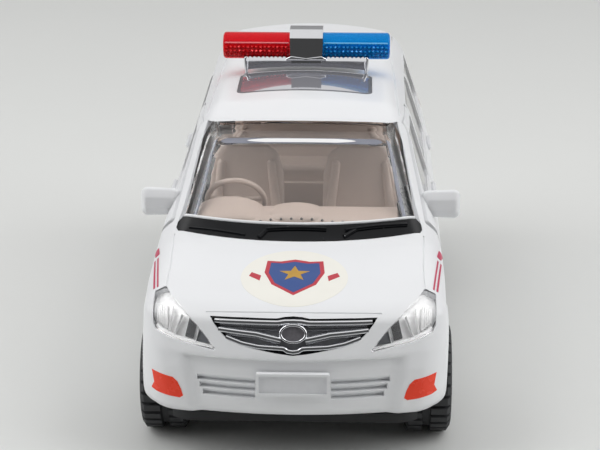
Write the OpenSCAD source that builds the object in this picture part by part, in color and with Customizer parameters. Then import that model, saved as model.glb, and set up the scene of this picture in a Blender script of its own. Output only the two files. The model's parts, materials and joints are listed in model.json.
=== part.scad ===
/* [Body] */
// Length of the body over its bumpers
body_length = 125.2; // [118:0.2:136]
// Width of the body over its doors
body_width = 49.6; // [47:0.2:54]
// Height of the roof above the ground
roof_height = 48.6; // [47:0.2:52]
// Height of the lower edge of the sills
sill_height = 7.8; // [7.4:0.1:8.4]
// Height of the waist, where the windows start
waist_height = 31.6; // [30.6:0.1:32.6]
// Wall of the body moulding
shell_wall = 1.2; // [1:0.05:1.4]

/* [Nose and windscreen] */
// Height of the bonnet at its front lip
lip_height = 26.4; // [25.6:0.1:27.2]
// Drop from the waist to the cowl at the back of the bonnet
cowl_drop = 0.8; // [0.4:0.1:1.4]
// Run of the bonnet from the bumper back to the cowl
bonnet_run = 25.4; // [24:0.2:27]
// Run of the windscreen from the cowl back to the roof
screen_run = 20.4; // [19:0.2:22]
// Drop from the roof to the upper edge of the windscreen
screen_drop = 2.2; // [1.6:0.1:2.8]

/* [Wheels] */
// Distance from the front bumper back to the front axle
front_overhang = 20.1; // [19.2:0.1:21.6]
// Distance from the rear axle back to the rear bumper
rear_overhang = 28.7; // [26:0.1:31]
// Distance from the side of the body in to the middle of the tyres
wheel_inset = 3.2; // [2.8:0.1:4]
// Outer radius of the tyres
wheel_radius = 9.2; // [8.8:0.1:9.6]
// Width of the tyres
tyre_width = 7; // [6:0.1:7.6]
// Outer radius of the rims
rim_radius = 6.2; // [5.6:0.1:6.8]
// Radius of the axles
axle_radius = 0.9; // [0.7:0.05:1.1]

/* [Doors] */
// Distance from the front bumper back to the front doors
door_setback = 33.4; // [32.8:0.2:35]
// Length of the front doors along their waist
door_length = 30.4; // [28:0.2:33]
// Height of the lower edge of the front doors
door_floor = 10.4; // [9.8:0.1:12]
// Gap round the doors
door_gap = 0.35; // [0.3:0.05:0.5]
// Radius of the door hinge pins
hinge_pin_radius = 0.45; // [0.35:0.05:0.55]
// Width of the housings of the door mirrors
mirror_width = 4.1; // [3.6:0.1:5]

/* [Light bar] */
// Distance from the middle of the car back to the light bar
bar_setback = 12; // [11:0.2:15]
// Length of the light bar over both lenses
bar_length = 31.4; // [28:0.2:34]
// Radius of the coloured lenses
lens_radius = 2.35; // [2:0.05:2.6]
// Width of the chrome bridge between the lenses
bridge_width = 6.2; // [5:0.1:8]
// Height of the foot that carries the lenses
foot_height = 2.6; // [2:0.1:3.2]

/* [Motor] */
// Size of the gear teeth, pitch diameter over tooth count
gear_module = 0.4; // [0.38:0.01:0.42]
// Width of the gear teeth
gear_width = 2.4; // [2:0.1:3]
// Wall of the motor case
case_wall = 1; // [0.8:0.05:1.2]

/* [Hidden] */

// Small allowances that all pieces share
fit = 0.15;
running_fit = 0.06;
overrun = 1;
facets = 12;
fine_facets = 4;
ball_facets = 10;
arch_facets = 30;
curve_facets = 64;

half_length = body_length / 2;
half_width = body_width / 2;
half_height = (roof_height - sill_height) / 2;
front_y = -half_length;
cowl_y = front_y + bonnet_run;
screen_y = cowl_y + screen_run;
front_axle_y = front_y + front_overhang;
rear_axle_y = half_length - rear_overhang;
cowl_height = waist_height - cowl_drop;
screen_height = roof_height - screen_drop;
cabin_height = roof_height - waist_height;
flank_height = waist_height - sill_height;
track = body_width - 2 * wheel_inset;

// Rounding of the body's edges, and the bow and lean of its ends
corner_across = 4.5;
corner_along = 6;
roof_round = 4.5;
sill_round = 6;
nose_bow = 5.2;
nose_lean = 3;
nose_reach = 24;
tail_bow = 3;
tail_lean = 5;
tail_reach = 22;
bumper_height = 8.7;
bonnet_crown = 0.8;
roof_crown = 1.8;
screen_sweep = 4.2;
crease = 1.3;
waist_crease = 0.7;

// Shares of the body's height and half width, up its flank and up its cabin
flank_shares = [[0, 0.955], [0.16, 0.985], [0.5, 1], [0.8, 0.988], [0.955, 0.95]];
cabin_shares = [[0.03, 0.922], [0.8, 0.752], [1, 0.7]];
// Shares of the half length and the half width, along the body
plan_shares = [[-1, 0.985], [-0.7, 1], [0.6, 1], [1, 0.968]];
// Shares of the body's height, from -1 to 1, and of the lean of each end
nose_lean_shares = [[-1, 0.12], [-0.6, 0], [0, 0.03], [0.3, 0.2], [0.9, 0.85], [1, 1]];
tail_lean_shares = [[-1, 0.1], [-0.5, 0], [-0.1, 0.02], [0.25, 0.14], [0.9, 0.9], [1, 1]];
bonnet_rise_shares = [0.5, 0.57];
roof_rise_shares = [0.42, 0.7];
roof_run_share = 0.3;

roof_front_y = screen_y + roof_run_share * body_length / 2;
roof_rear_share = 0.7;
roof_rear_y = half_length * roof_rear_share;
roof_fall = 0.9;
top_table = [
    [front_y, lip_height],
    [front_y + bonnet_rise_shares[0] * bonnet_run, mix(lip_height, cowl_height, bonnet_rise_shares[1])],
    [cowl_y, cowl_height],
    [screen_y, screen_height],
    [mix(screen_y, roof_front_y, roof_rise_shares[0]),
        mix(screen_height, roof_height, roof_rise_shares[1])],
    [roof_front_y, roof_height],
    [roof_rear_y, roof_height],
    [half_length, roof_height - roof_fall]
];
crown_table = [[cowl_y, bonnet_crown], [screen_y, bonnet_crown], [roof_front_y, roof_crown]];
sweep_table = [[screen_y, screen_sweep], [roof_front_y, 0]];
bottom_table = [
    [front_y, bumper_height],
    [front_axle_y, sill_height],
    [rear_axle_y, sill_height],
    [half_length, bumper_height]
];
side_table = concat(
    [for (s = flank_shares) [sill_height + s[0] * flank_height, s[1] * half_width]],
    [for (s = cabin_shares) [waist_height + s[0] * cabin_height, s[1] * half_width]]
);

// Places of the grid lines on the body's skin, as shares of its half sizes
across_half_shares = [0.36, 0.7, 0.86, 0.95, 1];
along_shares = [
    -1, -0.97, -0.93, -0.86, -0.76, -0.66, -0.61, -0.575, -0.48, -0.28, -0.23, -0.13, 0.05, 0.7, 0.88, 0.95,
    0.98, 1
];
up_shares = [-1, -0.9, -0.72, -0.3, 0.06, 0.14, 0.24, 0.55, 0.8, 0.93, 1];
across_shares = concat([for (k = [len(across_half_shares) - 1:-1:0]) -across_half_shares[k]], [0],
    across_half_shares);

function mix(a, b, t) = a + (b - a) * t;
function held(v, low, high) = max(low, min(high, v));

// A table's value with its corners rounded over a short span
function eased(v, table, span) =
    (lookup(v - span, table) + 2 * lookup(v - span / 2, table) + 2 * lookup(v, table)
        + 2 * lookup(v + span / 2, table) + lookup(v + span, table)) / 8;

// Height of the body's top, by its place across and along
function top_height(across, y) =
    eased(y - lookup(y, sweep_table) * across * across, top_table, crease)
        - lookup(y, crown_table) * across * across;

// Half width of the body, by its place along and its height
function side_width(y, z) = eased(z, side_table, waist_crease) * lookup(y / half_length, plan_shares);

// A point of the body's skin: u lies on the unit cube, inset is how far the skin lies below the outer one
function skin_point(u, inset) =
    let (
        round_shares = [
            corner_across / half_width, corner_along / half_length,
            (u.z > 0 ? roof_round : sill_round) / half_height
        ],
        core = [for (k = [0:2]) held(u[k], round_shares[k] - 1, 1 - round_shares[k])],
        off = [for (k = [0:2]) (u[k] - core[k]) / round_shares[k]],
        v = [for (k = [0:2]) core[k] + round_shares[k] * off[k] / norm(off)],
        flat_y = v.y * (half_length - inset),
        nose = pow(held(1 - (v.y + 1) * half_length / nose_reach, 0, 1), 2),
        tail = pow(held(1 - (1 - v.y) * half_length / tail_reach, 0, 1), 2),
        y = flat_y + nose * (nose_bow * v.x * v.x + nose_lean * lookup(v.z, nose_lean_shares))
            - tail * (tail_bow * v.x * v.x + tail_lean * lookup(v.z, tail_lean_shares)),
        low = lookup(y, bottom_table) + inset,
        high = top_height(v.x, y) - inset,
        z = mix(low, high, (v.z + 1) / 2)
    )
    [v.x * (side_width(y, z) - inset), y, z];

// Triangles of a grid of points, turned over where flip is set
function grid_faces(start, rows, columns, flip) =
    [for (i = [0:rows - 2]) for (j = [0:columns - 2])
        let (a = start + i * columns + j, b = a + 1, c = a + columns + 1, d = a + columns)
        each flip ? [[a, c, b], [a, d, c]] : [[a, b, c], [a, c, d]]];

// The closed solid inside one skin of the body
module skin(inset) {
    nx = len(across_shares);
    ny = len(along_shares);
    nz = len(up_shares);
    decks = [for (side = [1, -1]) for (y = along_shares) for (x = across_shares)
        skin_point([x, y, side], inset)];
    flanks = [for (side = [1, -1]) for (y = along_shares) for (z = up_shares)
        skin_point([side, y, z], inset)];
    ends = [for (side = [-1, 1]) for (z = up_shares) for (x = across_shares)
        skin_point([x, side, z], inset)];
    flank_start = len(decks);
    end_start = flank_start + len(flanks);
    polyhedron(
        concat(decks, flanks, ends),
        concat(
            grid_faces(0, ny, nx, true), grid_faces(nx * ny, ny, nx, false),
            grid_faces(flank_start, ny, nz, false), grid_faces(flank_start + ny * nz, ny, nz, true),
            grid_faces(end_start, nz, nx, true), grid_faces(end_start + nz * nx, nz, nx, false)
        )
    );
}

// What lies between two skins of the body
module layer(outer_inset, inner_inset) {
    difference() {
        skin(outer_inset);
        skin(inner_inset);
    }
}

// Rounded prisms through the body: across it, along it and upright
module across_prism(points, round, from, to) {
    hull()
        for (p = points)
            translate([from, p.x, p.y]) rotate([0, 90, 0]) cylinder(h = to - from, r = round, $fn = facets);
}
module along_prism(points, round, from, to, sides = facets) {
    hull()
        for (p = points)
            translate([p.x, to, p.y]) rotate([90, 0, 0]) cylinder(h = to - from, r = round, $fn = sides);
}
module upright_prism(points, round, from, to) {
    hull()
        for (p = points)
            translate([p.x, p.y, from]) cylinder(h = to - from, r = round, $fn = facets);
}
module mirrored() {
    children();
    mirror([1, 0, 0]) children();
}

// Side windows behind the front doors, between upright and leaning pillars
window_round = 1.2;
door_pillar = 1;
rear_pillar_share = 0.443;
rear_pillar = 1.4;
rear_pillar_top = 2.2;
rear_pillar_lean = 1.6;
quarter_margin = 11.3;
quarter_lean = 5.2;
window_sill_shares = [0.08, 0.1, 0.11, 0.15];
window_head_shares = [0.68, 0.67, 0.66, 0.62];
function cabin_z(share) = waist_height + share * cabin_height;
function window_outline(low_ys, high_ys, first) = [
    [low_ys[0], cabin_z(window_sill_shares[first])], [high_ys[0], cabin_z(window_head_shares[first])],
    [high_ys[1], cabin_z(window_head_shares[first + 1])], [low_ys[1], cabin_z(window_sill_shares[first + 1])]
];
function rear_window_places() =
    let (front = door_rear_y + door_gap + door_pillar + window_round, back = rear_pillar_y - window_round)
    window_outline([front, back - rear_pillar / 2],
        [front, back - rear_pillar_lean - rear_pillar_top / 2], 0);
function quarter_window_places() =
    let (front = rear_pillar_y + window_round, back = half_length - quarter_margin)
    window_outline([front + rear_pillar / 2, back],
        [front - rear_pillar_lean + rear_pillar_top / 2, back - quarter_lean], 2);
// Windscreen and tail window, from shares of the half width and of the cabin's height
screen_shares = [
    [0.8, 0], [0.78, 0.12], [0.635, 0.78], [0.25, 0.82], [-0.25, 0.82], [-0.635, 0.78], [-0.78, 0.12],
    [-0.8, 0]
];
tail_window_shares = [[0.68, 0.14], [0.56, 0.7], [-0.56, 0.7], [-0.68, 0.14]];
function end_places(shares) = [for (s = shares) [s[0] * half_width, waist_height + s[1] * cabin_height]];
pane_step = 0.4;
glass_wall = 0.9;
screen_border = 2.1;
glass_inset = shell_wall + fit;

// Front doors: their edges, their frame and the pillar line that they follow
door_front_y = front_y + door_setback;
door_rear_y = door_front_y + door_length;
rear_pillar_y = mix(door_rear_y, half_length, rear_pillar_share);
door_top_share = 0.76;
door_top = waist_height + door_top_share * cabin_height;
door_round = 0.8;
door_front_gap = 0.9;
door_frame = 1.3;
pillar_width = 3.6;
function pillar_y(z) =
    cowl_y + screen_sweep + pillar_width + (z - cowl_height) * screen_run / (screen_height - cowl_height);
// The door's front edge above its waist, from its lower corner up to the pillar line
function door_edge_y(z) =
    mix(door_front_y, pillar_y(door_top), (z - waist_height) / (door_top - waist_height));
module door_prism(grow, front_grow, from, to) {
    inset = door_round - grow;
    front_inset = door_round - front_grow;
    across_prism([
        [door_front_y + front_inset, door_floor + inset], [door_front_y + front_inset, waist_height],
        [door_rear_y - inset, waist_height], [door_rear_y - inset, door_floor + inset]
    ], door_round, from, to);
    across_prism([
        [door_front_y + front_inset, waist_height], [pillar_y(door_top) + front_inset, door_top - inset],
        [door_rear_y - inset, door_top - inset], [door_rear_y - inset, waist_height]
    ], door_round, from, to);
}
module door_window(inset, from, to) {
    edge = door_frame + window_round + inset;
    low = waist_height + edge / 2;
    high = door_top - edge;
    across_prism([
        [door_edge_y(low) + edge, low + inset], [door_edge_y(high) + edge, high],
        [door_rear_y - edge, high], [door_rear_y - edge, low + inset]
    ], window_round, from, to);
}

// Door hinges: the pin stands just inside the skin at the door's front edge
hinge_depth = 1.2;
hinge_setback = 0.7;
hinge_x = half_width - hinge_depth;
hinge_y = door_front_y + hinge_setback;
hinge_middle_share = 0.5;
hinge_z = mix(door_floor, waist_height, hinge_middle_share);
socket_height = 3;
socket_wall = 0.4;
socket_radius = hinge_pin_radius + running_fit + socket_wall;
pin_height = 6;
lug_wall = 0.5;
lug_radius = hinge_pin_radius + lug_wall;
socket_tab_length = 4;
socket_tab_width = 0.75;

// Lamps and grille in the front view, from shares of the half width and of the lip's height
lamp_round = 0.5;
headlamp_shares = [
    [0.525, 0.78], [0.833, 1.06], [0.89, 1.035], [0.91, 0.96], [0.9, 0.89], [0.845, 0.848], [0.71, 0.814]
];
grille_round = 0.4;
grille_shares = [
    [0.505, 0.947], [0.24, 0.97], [0, 0.978], [-0.24, 0.97], [-0.505, 0.947], [-0.43, 0.87], [-0.37, 0.805],
    [-0.2, 0.783],
    [0, 0.776], [0.2, 0.783], [0.37, 0.805], [0.43, 0.87]
];
function nose_places(shares) = [for (s = shares) [s[0] * half_width, s[1] * lip_height]];
tail_lamp_shares = [[0.72, -0.34], [0.74, 0.36], [0.85, 0.5], [1, 0.5], [1, -0.34]];
lamp_end_share = 0.5;
headlamp_end_share = 0.62;
lamp_end = front_overhang * lamp_end_share;
headlamp_end = front_overhang * headlamp_end_share;
lamp_depth = 0.9;
bar_round = 0.42;
grille_bar_shares = [
    [[0.47, 0.93], [0.24, 0.945], [0, 0.955]],
    [[0.43, 0.885], [0.24, 0.875], [0.1, 0.867]],
    [[0.36, 0.828], [0.2, 0.81], [0, 0.8]]
];
badge_half_width = 2.4;
badge_radius = 1.7;
badge_z_share = 0.87;

// Number plates and the bumper's intake
plate_half_width = 5.8;
plate_height = 3.8;
plate_floor = 13.9;
plate_stand = 0.35;
plate_depth = 0.85;
intake_shares = [[0.56, 0.634], [0.55, 0.591], [0.535, 0.548]];
slot_radius = 0.34;
slot_depth = 0.6;
intake_margin = 0.8;
intake_inner = plate_half_width + intake_margin;

// Cowl panel in plan: its two arcs, from the middle out to the tips
cowl_tip = 20.4;
cowl_front_sweep = 4.7;
cowl_rear_sweep = 1.9;
cowl_middle = 3.2;
cowl_depth = 0.45;
cowl_stand = 0.12;
cowl_steps = 5;
cowl_round = 0.35;
function cowl_front(t) = [t * cowl_tip, cowl_y + cowl_front_sweep * t * t + cowl_round];
function cowl_rear(t) = [t * cowl_tip, cowl_y + cowl_middle + cowl_rear_sweep * t * t - cowl_round];
wiper_radius = 0.35;
wiper_shares = [[[-0.3, 0.13], [0.23, 0.27]], [[0.41, 0.2], [0.86, 0.52]]];

// Roof pane under and ahead of the light bar
pane_half_width = 12.3;
pane_front_y = -4.2;
pane_rear_y = 7.4;
pane_round = 1.6;

// Light bar
bar_base_z = roof_height + fit;
lens_z = bar_base_z + foot_height + lens_radius;
bridge_stand = 1.1;
bridge_radius = lens_radius + bridge_stand;
foot_half_length = 11;
foot_lift = 0.5;
foot_toe = 1.2;
foot_half_depth = 1.9;
lens_wall = 0.7;
lens_cap = 1.4;
cap_steps = 6;
lens_rib = 0.25;
lens_ribs = 8;

// Chassis plate under the sills, and its screws
chassis_wall = 1.6;
chassis_top = sill_height - fit;
chassis_bottom = chassis_top - chassis_wall;
chassis_margin = 3.6;
chassis_half_width = half_width - chassis_margin;
chassis_end_margin = 7.6;
chassis_half_length = half_length - chassis_end_margin;
chassis_corner = 5;
wheel_room = 1.5;
arch_radius = wheel_radius + wheel_room;
tyre_inner_x = (track - tyre_width) / 2;
arch_inner_x = tyre_inner_x - wheel_room;
screw_x = 9;
screw_inset = 12.4;
screw_ys = [front_y + screw_inset, half_length - screw_inset];
screw_radius = 0.8;
screw_head_radius = 1.7;
screw_head_height = 0.9;
screw_length = 7;
slot_width = 0.5;
boss_radius = 2.3;
saddle_x = 11;
saddle_width = 4;
saddle_length = 5.4;
saddle_rise = 2.2;

// Interior
tub_margin = 6.2;
tub_half_width = half_width - tub_margin;
tub_wall = 1;
tub_rim = 3.4;
tub_setback = 10.2;
tub_front_y = cowl_y + tub_setback;
seat_width_share = 0.275;
seat_half_width = seat_width_share * half_width;
seat_place_share = 0.411;
seat_x = seat_place_share * half_width;
seat_run_shares = [0.227, 0.53];
seat_height = 17;
seat_top_share = 0.47;
seat_top = mix(waist_height, roof_height, seat_top_share);
seat_round = 1.6;
dash_margin = 8;
dash_half_width = half_width - dash_margin;
dash_drop = 6.2;
dash_rise = 1.7;
dash_floor = waist_height - dash_drop;
dash_top = waist_height + dash_rise;
dash_run = 8.2;
dash_lean = 2;
binnacle_radius = 3.4;
steering_place_share = 0.435;
steering_x = -steering_place_share * half_width;
steering_radius = 5.2;
steering_rim = 0.55;
steering_tilt = 62;
steering_setback = 6.2;
steering_y = tub_front_y + steering_setback;
steering_rise = 0.8;
steering_z = waist_height + steering_rise;

// Motor: teeth, places of the arbors and size of the case
pressure_angle = 25;
addendum_share = 0.8;
dedendum_share = 1.05;
backlash = 0.12;
pinion_teeth = 10;
reduction_teeth = 28;
drum_teeth = 32;
flank_steps = 4;
reduction_angle = 128;
drum_angle = 176;
arbor_radius = 0.7;
gear_gap = 0.5;
function pitch_radius(teeth) = gear_module * teeth / 2;
function tip_radius(teeth) = pitch_radius(teeth) + addendum_share * gear_module;
axle_place = [rear_axle_y, wheel_radius];
reduction_place = axle_place
    + (pitch_radius(pinion_teeth) + pitch_radius(reduction_teeth))
    * [cos(reduction_angle), sin(reduction_angle)];
drum_place = reduction_place
    + (pitch_radius(pinion_teeth) + pitch_radius(drum_teeth)) * [cos(drum_angle), sin(drum_angle)];
reduction_phase = reduction_angle + 180 + 180 / reduction_teeth;
drum_phase = drum_angle + 180 + 180 / drum_teeth;
spring_width = 2.2;
spring_wall = 0.25;
spring_turns = 5;
spring_steps = 24;
spring_inner = 1.7;
spring_outer = 4.9;
drum_cup_radius = 5.2;
drum_cup_wall = 0.6;
case_right_x = gear_gap / 2 + gear_width + gear_gap + case_wall;
spring_x = -gear_gap / 2 - gear_width - spring_width;
case_left_x = spring_x - gear_gap - case_wall;
case_top = max(drum_place.y + tip_radius(drum_teeth),
    reduction_place.y + tip_radius(reduction_teeth)) + gear_gap + case_wall;
case_front_y = drum_place.x - tip_radius(drum_teeth) - gear_gap - case_wall;
case_rear_y = rear_axle_y + tip_radius(pinion_teeth) + gear_gap + case_wall;
platform_z = case_top + fit;

// Body moulding, with its screw bosses and its door handles
handle_length = 5.2;
handle_radius = 0.65;
handle_drop = 1.4;
handle_stand = 0.2;
rear_handle_share = 0.69;
boss_rise = 12;
boss_rib = 1.2;
opening_margin = 0.5;
floor_half_width = tub_half_width + opening_margin;
floor_half_length = chassis_half_length - opening_margin - chassis_corner;
module handle(y) {
    z = waist_height - handle_drop;
    hull()
        for (end = [0, 1])
            translate([side_width(y, z) + handle_stand, y + end * handle_length, z])
                sphere(r = handle_radius, $fn = ball_facets);
}
module screw_bosses() {
    for (x = [-screw_x, screw_x]) {
        translate([x, screw_ys[0], chassis_top]) cylinder(h = roof_height, r = boss_radius, $fn = facets);
        translate([x, screw_ys[1], chassis_top]) cylinder(h = boss_rise, r = boss_radius, $fn = facets);
        translate([x - boss_rib / 2, screw_ys[1], bumper_height]) cube([boss_rib, half_length, boss_rise]);
    }
}
module body_cuts() {
    along_prism(end_places(screen_shares), window_round, cowl_y + cowl_middle / 2,
        screen_y + screen_sweep + overrun);
    along_prism(end_places(tail_window_shares), window_round, half_length - tail_reach,
        half_length + overrun);
    for (places = [rear_window_places(), quarter_window_places()])
        across_prism(places, window_round, -half_width, half_width);
    door_prism(door_gap, door_front_gap, -half_width - overrun, half_width + overrun);
    mirrored() {
        along_prism(nose_places(headlamp_shares), lamp_round, front_y - overrun, front_y + headlamp_end);
        along_prism(end_places(tail_lamp_shares), lamp_round, half_length - lamp_end,
            half_length + overrun);
        for (y = [front_axle_y, rear_axle_y])
            translate([arch_inner_x, y, wheel_radius]) rotate([0, 90, 0])
                cylinder(h = half_width, r = arch_radius, $fn = arch_facets);
    }
    along_prism(nose_places(grille_shares), grille_round, front_y - overrun, front_y + corner_along);
    intersection() {
        layer(-overrun, slot_depth);
        mirrored()
            for (s = intake_shares)
                along_prism([[intake_inner, s[1] * lip_height], [s[0] * half_width, s[1] * lip_height]],
                    slot_radius, front_y - overrun, front_y + corner_along, fine_facets * 2);
    }
    cowl_seat();
    for (turn = [0, 180])
        rotate([0, 0, turn])
            translate([-plate_half_width - fit, -half_length - plate_stand - fit, plate_floor - fit])
                cube([2 * (plate_half_width + fit), plate_depth + 2 * fit, plate_height + 2 * fit]);
    upright_prism(pane_places(pane_round), pane_round, roof_height - roof_crown - shell_wall,
        roof_height + overrun);
    upright_prism([for (x = [-1, 1]) for (y = [-1, 1])
        [x * (floor_half_width - chassis_corner), y * floor_half_length]],
        chassis_corner, -overrun, bumper_height + overrun);
    for (x = [-screw_x, screw_x])
        for (y = screw_ys)
            translate([x, y, 0])
                cylinder(h = chassis_bottom + screw_length + overrun, r = screw_radius + fit, $fn = facets);
}
module body_shell() {
    color("white")
        difference() {
            union() {
                layer(0, shell_wall);
                intersection() {
                    skin(shell_wall / 2);
                    screw_bosses();
                }
                for (x = [-screw_x, screw_x])
                    for (y = screw_ys)
                        translate([x, y, chassis_top])
                            cylinder(h = bumper_height - chassis_top + shell_wall, r = boss_radius,
                                $fn = facets);
                mirrored() handle(front_y + rear_handle_share * body_length);
            }
            body_cuts();
        }
}

// Clear moulding under the roof, stepped out into each window
glass_drop = 0.8;
module window_glazing() {
    side_panes = [rear_window_places(), quarter_window_places()];
    color([0.8, 0.86, 0.88, 0.5])
        difference() {
            union() {
                intersection() {
                    layer(glass_inset, glass_inset + glass_wall);
                    translate([-half_width, cowl_y + cowl_middle, waist_height - glass_drop])
                        cube([body_width, body_length - bonnet_run - tail_lean - cowl_middle,
                            cabin_height]);
                }
                intersection() {
                    layer(pane_step, glass_inset + glass_wall / 2);
                    union() {
                        for (places = side_panes)
                            across_prism(places, window_round - fit, -half_width, half_width);
                        along_prism(end_places(tail_window_shares), window_round - fit,
                            half_length - tail_reach, half_length + overrun);
                        along_prism(screen_panel_places(), window_round, cowl_y + cowl_middle,
                            screen_y + screen_sweep);
                    }
                }
            }
            mirrored() door_prism(door_gap, door_gap, tub_half_width / 2, half_width);
            tail_lamp_room();
            cowl_seat();
        }
}
// The raised panel of the windscreen, inside its border
function screen_panel_places() =
    [for (p = end_places(screen_shares))
        [p.x - sign(p.x) * screen_border,
            min(p.y, waist_height + screen_shares[3][1] * cabin_height - screen_border)]];
module tail_lamp_room() {
    mirrored()
        along_prism(end_places(tail_lamp_shares), lamp_round + fit, half_length - lamp_end - fit,
            half_length + overrun);
}

// Roof pane, a run of rods that follows the crown of the roof
pane_rods = 10;
pane_wall = 0.5;
pane_margin = 0.35;
function pane_places(inset) =
    [for (x = [-1, 1]) for (y = [pane_front_y + inset, pane_rear_y - inset])
        [x * (pane_half_width - inset), y]];
function pane_trim(x) =
    let (over = max(0, abs(x) - (pane_half_width - pane_round)))
    pane_round - sqrt(max(0, pane_round * pane_round - over * over));
module pane_rod(share, drop) {
    x = share * (pane_half_width - pane_margin - pane_wall / 2);
    trim = pane_trim(x) + pane_margin;
    y = pane_front_y + trim;
    z = top_height(x / side_width(y, roof_height), (pane_front_y + pane_rear_y) / 2) - drop;
    translate([x, pane_rear_y - trim, z])
        rotate([90, 0, 0])
            cylinder(h = pane_rear_y - pane_front_y - 2 * trim, r = pane_wall / 2, $fn = facets);
}
module roof_pane() {
    color([0.35, 0.37, 0.4])
        for (k = [0:pane_rods - 1])
            hull()
                for (j = [k, k + 1])
                    for (drop = [pane_wall, shell_wall - pane_wall / 2])
                        pane_rod(2 * j / pane_rods - 1, drop);
}

// Black cowl between the bonnet and the windscreen, with the wipers moulded on it
module cowl_prism(grow) {
    for (k = [-cowl_steps:cowl_steps - 1])
        upright_prism([
            cowl_front(k / cowl_steps), cowl_rear(k / cowl_steps),
            cowl_front((k + 1) / cowl_steps), cowl_rear((k + 1) / cowl_steps)
        ], cowl_round + grow, waist_height - flank_height / 2, screen_height);
}
module cowl_seat() {
    intersection() {
        layer(-overrun, cowl_depth + fit);
        cowl_prism(fit);
    }
}
module cowl_panel() {
    color([0.06, 0.06, 0.07])
        union() {
            intersection() {
                layer(-cowl_stand, cowl_depth);
                cowl_prism(0);
            }
            intersection() {
                layer(-cowl_stand - wiper_radius, cowl_depth);
                for (w = wiper_shares)
                    hull()
                        for (s = w)
                            translate([s[0] * cowl_tip, cowl_y + s[1] * (cowl_middle + cowl_front_sweep),
                                waist_height - cowl_middle])
                                cylinder(h = cabin_height, r = wiper_radius, $fn = ball_facets);
            }
        }
}

// Grille: dark slatted backing, chrome bars and a plain oval badge
slat_shares = [0.793, 0.818, 0.843, 0.868, 0.893, 0.918, 0.943];
slat_radius = 0.12;
grille_depth = 0.75;
slat_stand = 0.15;
module grille_backing() {
    color([0.09, 0.09, 0.1])
        difference() {
            intersection() {
                along_prism(nose_places(grille_shares), grille_round - fit, front_y - overrun,
                    front_y + corner_along);
                union() {
                    layer(grille_depth, shell_wall);
                    intersection() {
                        layer(grille_depth - slat_stand, shell_wall);
                        for (s = slat_shares)
                            along_prism([[-half_width, s * lip_height], [half_width, s * lip_height]],
                                slat_radius, front_y - overrun, front_y + corner_along, fine_facets);
                    }
                }
            }
            badge_disc(fit, corner_along);
        }
}
module grille_bars() {
    color([0.8, 0.82, 0.84])
        difference() {
            intersection() {
                layer(0, grille_depth - slat_stand);
                mirrored()
                    for (bar = grille_bar_shares)
                        for (k = [0:len(bar) - 2])
                            along_prism(nose_places([bar[k], bar[k + 1]]), bar_round, front_y - overrun,
                                front_y + corner_along);
            }
            badge_disc(fit, corner_along);
        }
}
module badge_disc(grow, depth) {
    along_prism([for (side = [-1, 1])
        [side * (badge_half_width - badge_radius), badge_z_share * lip_height]],
        badge_radius + grow, front_y - overrun, front_y + depth);
}
badge_face = 0.9;
badge_back = 2.4;
badge_rim = 0.35;
module badge_solid(radius, from, to) {
    translate([0, to, badge_z_share * lip_height]) rotate([90, 0, 0])
        linear_extrude(to - from)
            hull()
                for (side = [-1, 1]) translate([side * (badge_half_width - badge_radius), 0])
                    circle(r = radius, $fn = facets);
}
module grille_badge() {
    color([0.75, 0.77, 0.8])
        difference() {
            badge_solid(badge_radius, front_y + badge_face, front_y + badge_back);
            badge_solid(badge_radius - badge_rim, front_y - overrun, front_y + badge_face + badge_rim);
        }
}

// Headlamps and tail lamps: clear lenses with flutes on their inner face, and bright reflectors behind
flutes = 7;
flute_radius = 0.3;
flute_shares = [0.25, 0.72];
flute_stand = 0.2;
reflector_wall = 0.5;
module lamp_flutes(places, from, to) {
    low = min([for (p = places) p.x]);
    high = max([for (p = places) p.x]);
    floor_z = min([for (p = places) p.y]);
    top_z = max([for (p = places) p.y]);
    flute_ends = [for (s = flute_shares) mix(floor_z, top_z, s)];
    for (k = [1:flutes]) {
        x = mix(low, high, k / (flutes + 1));
        along_prism([[x, flute_ends[0]], [x, flute_ends[1]]], flute_radius, from, to, fine_facets);
    }
}
module lamp_slice(places, outer_inset, inner_inset, flute_from, flute_to, from, to) {
    intersection() {
        along_prism(places, lamp_round - fit, from, to);
        union() {
            layer(outer_inset, inner_inset);
            intersection() {
                layer(flute_from, flute_to);
                lamp_flutes(places, from, to);
            }
        }
    }
}
module headlamp_lens_left() {
    color([0.9, 0.93, 0.95, 0.5])
        lamp_slice(nose_places(headlamp_shares), 0, lamp_depth, lamp_depth - flute_stand,
            lamp_depth + flute_stand,
            front_y - overrun, front_y + headlamp_end - fit);
}
module headlamp_reflector_left() {
    color([0.82, 0.84, 0.86])
        lamp_slice(nose_places(headlamp_shares), lamp_depth + 2 * flute_stand,
            lamp_depth + 2 * flute_stand + reflector_wall,
            lamp_depth + 2 * flute_stand + fit, lamp_depth + 3 * flute_stand + reflector_wall,
            front_y - overrun, front_y + headlamp_end - fit);
}
module tail_lamp_left() {
    color([0.75, 0.08, 0.06])
        lamp_slice(end_places(tail_lamp_shares), 0, lamp_depth, lamp_depth - flute_stand,
            lamp_depth + flute_stand,
            half_length - lamp_end + fit, half_length + overrun);
}
module headlamp_lens_right() { mirror([1, 0, 0]) headlamp_lens_left(); }
module headlamp_reflector_right() { mirror([1, 0, 0]) headlamp_reflector_left(); }
module tail_lamp_right() { mirror([1, 0, 0]) tail_lamp_left(); }

// Bare number plates, each a panel in a raised frame
plate_frame = 0.35;
module number_plate() {
    difference() {
        translate([-plate_half_width, -half_length - plate_stand, plate_floor])
            cube([2 * plate_half_width, plate_depth, plate_height]);
        translate([plate_frame - plate_half_width, -half_length - plate_stand - overrun,
            plate_floor + plate_frame])
            cube([2 * (plate_half_width - plate_frame), overrun + plate_frame / 2,
                plate_height - 2 * plate_frame]);
    }
}
module front_plate() { color("gainsboro") number_plate(); }
module rear_plate() { color("gainsboro") rotate([0, 0, 180]) number_plate(); }

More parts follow.
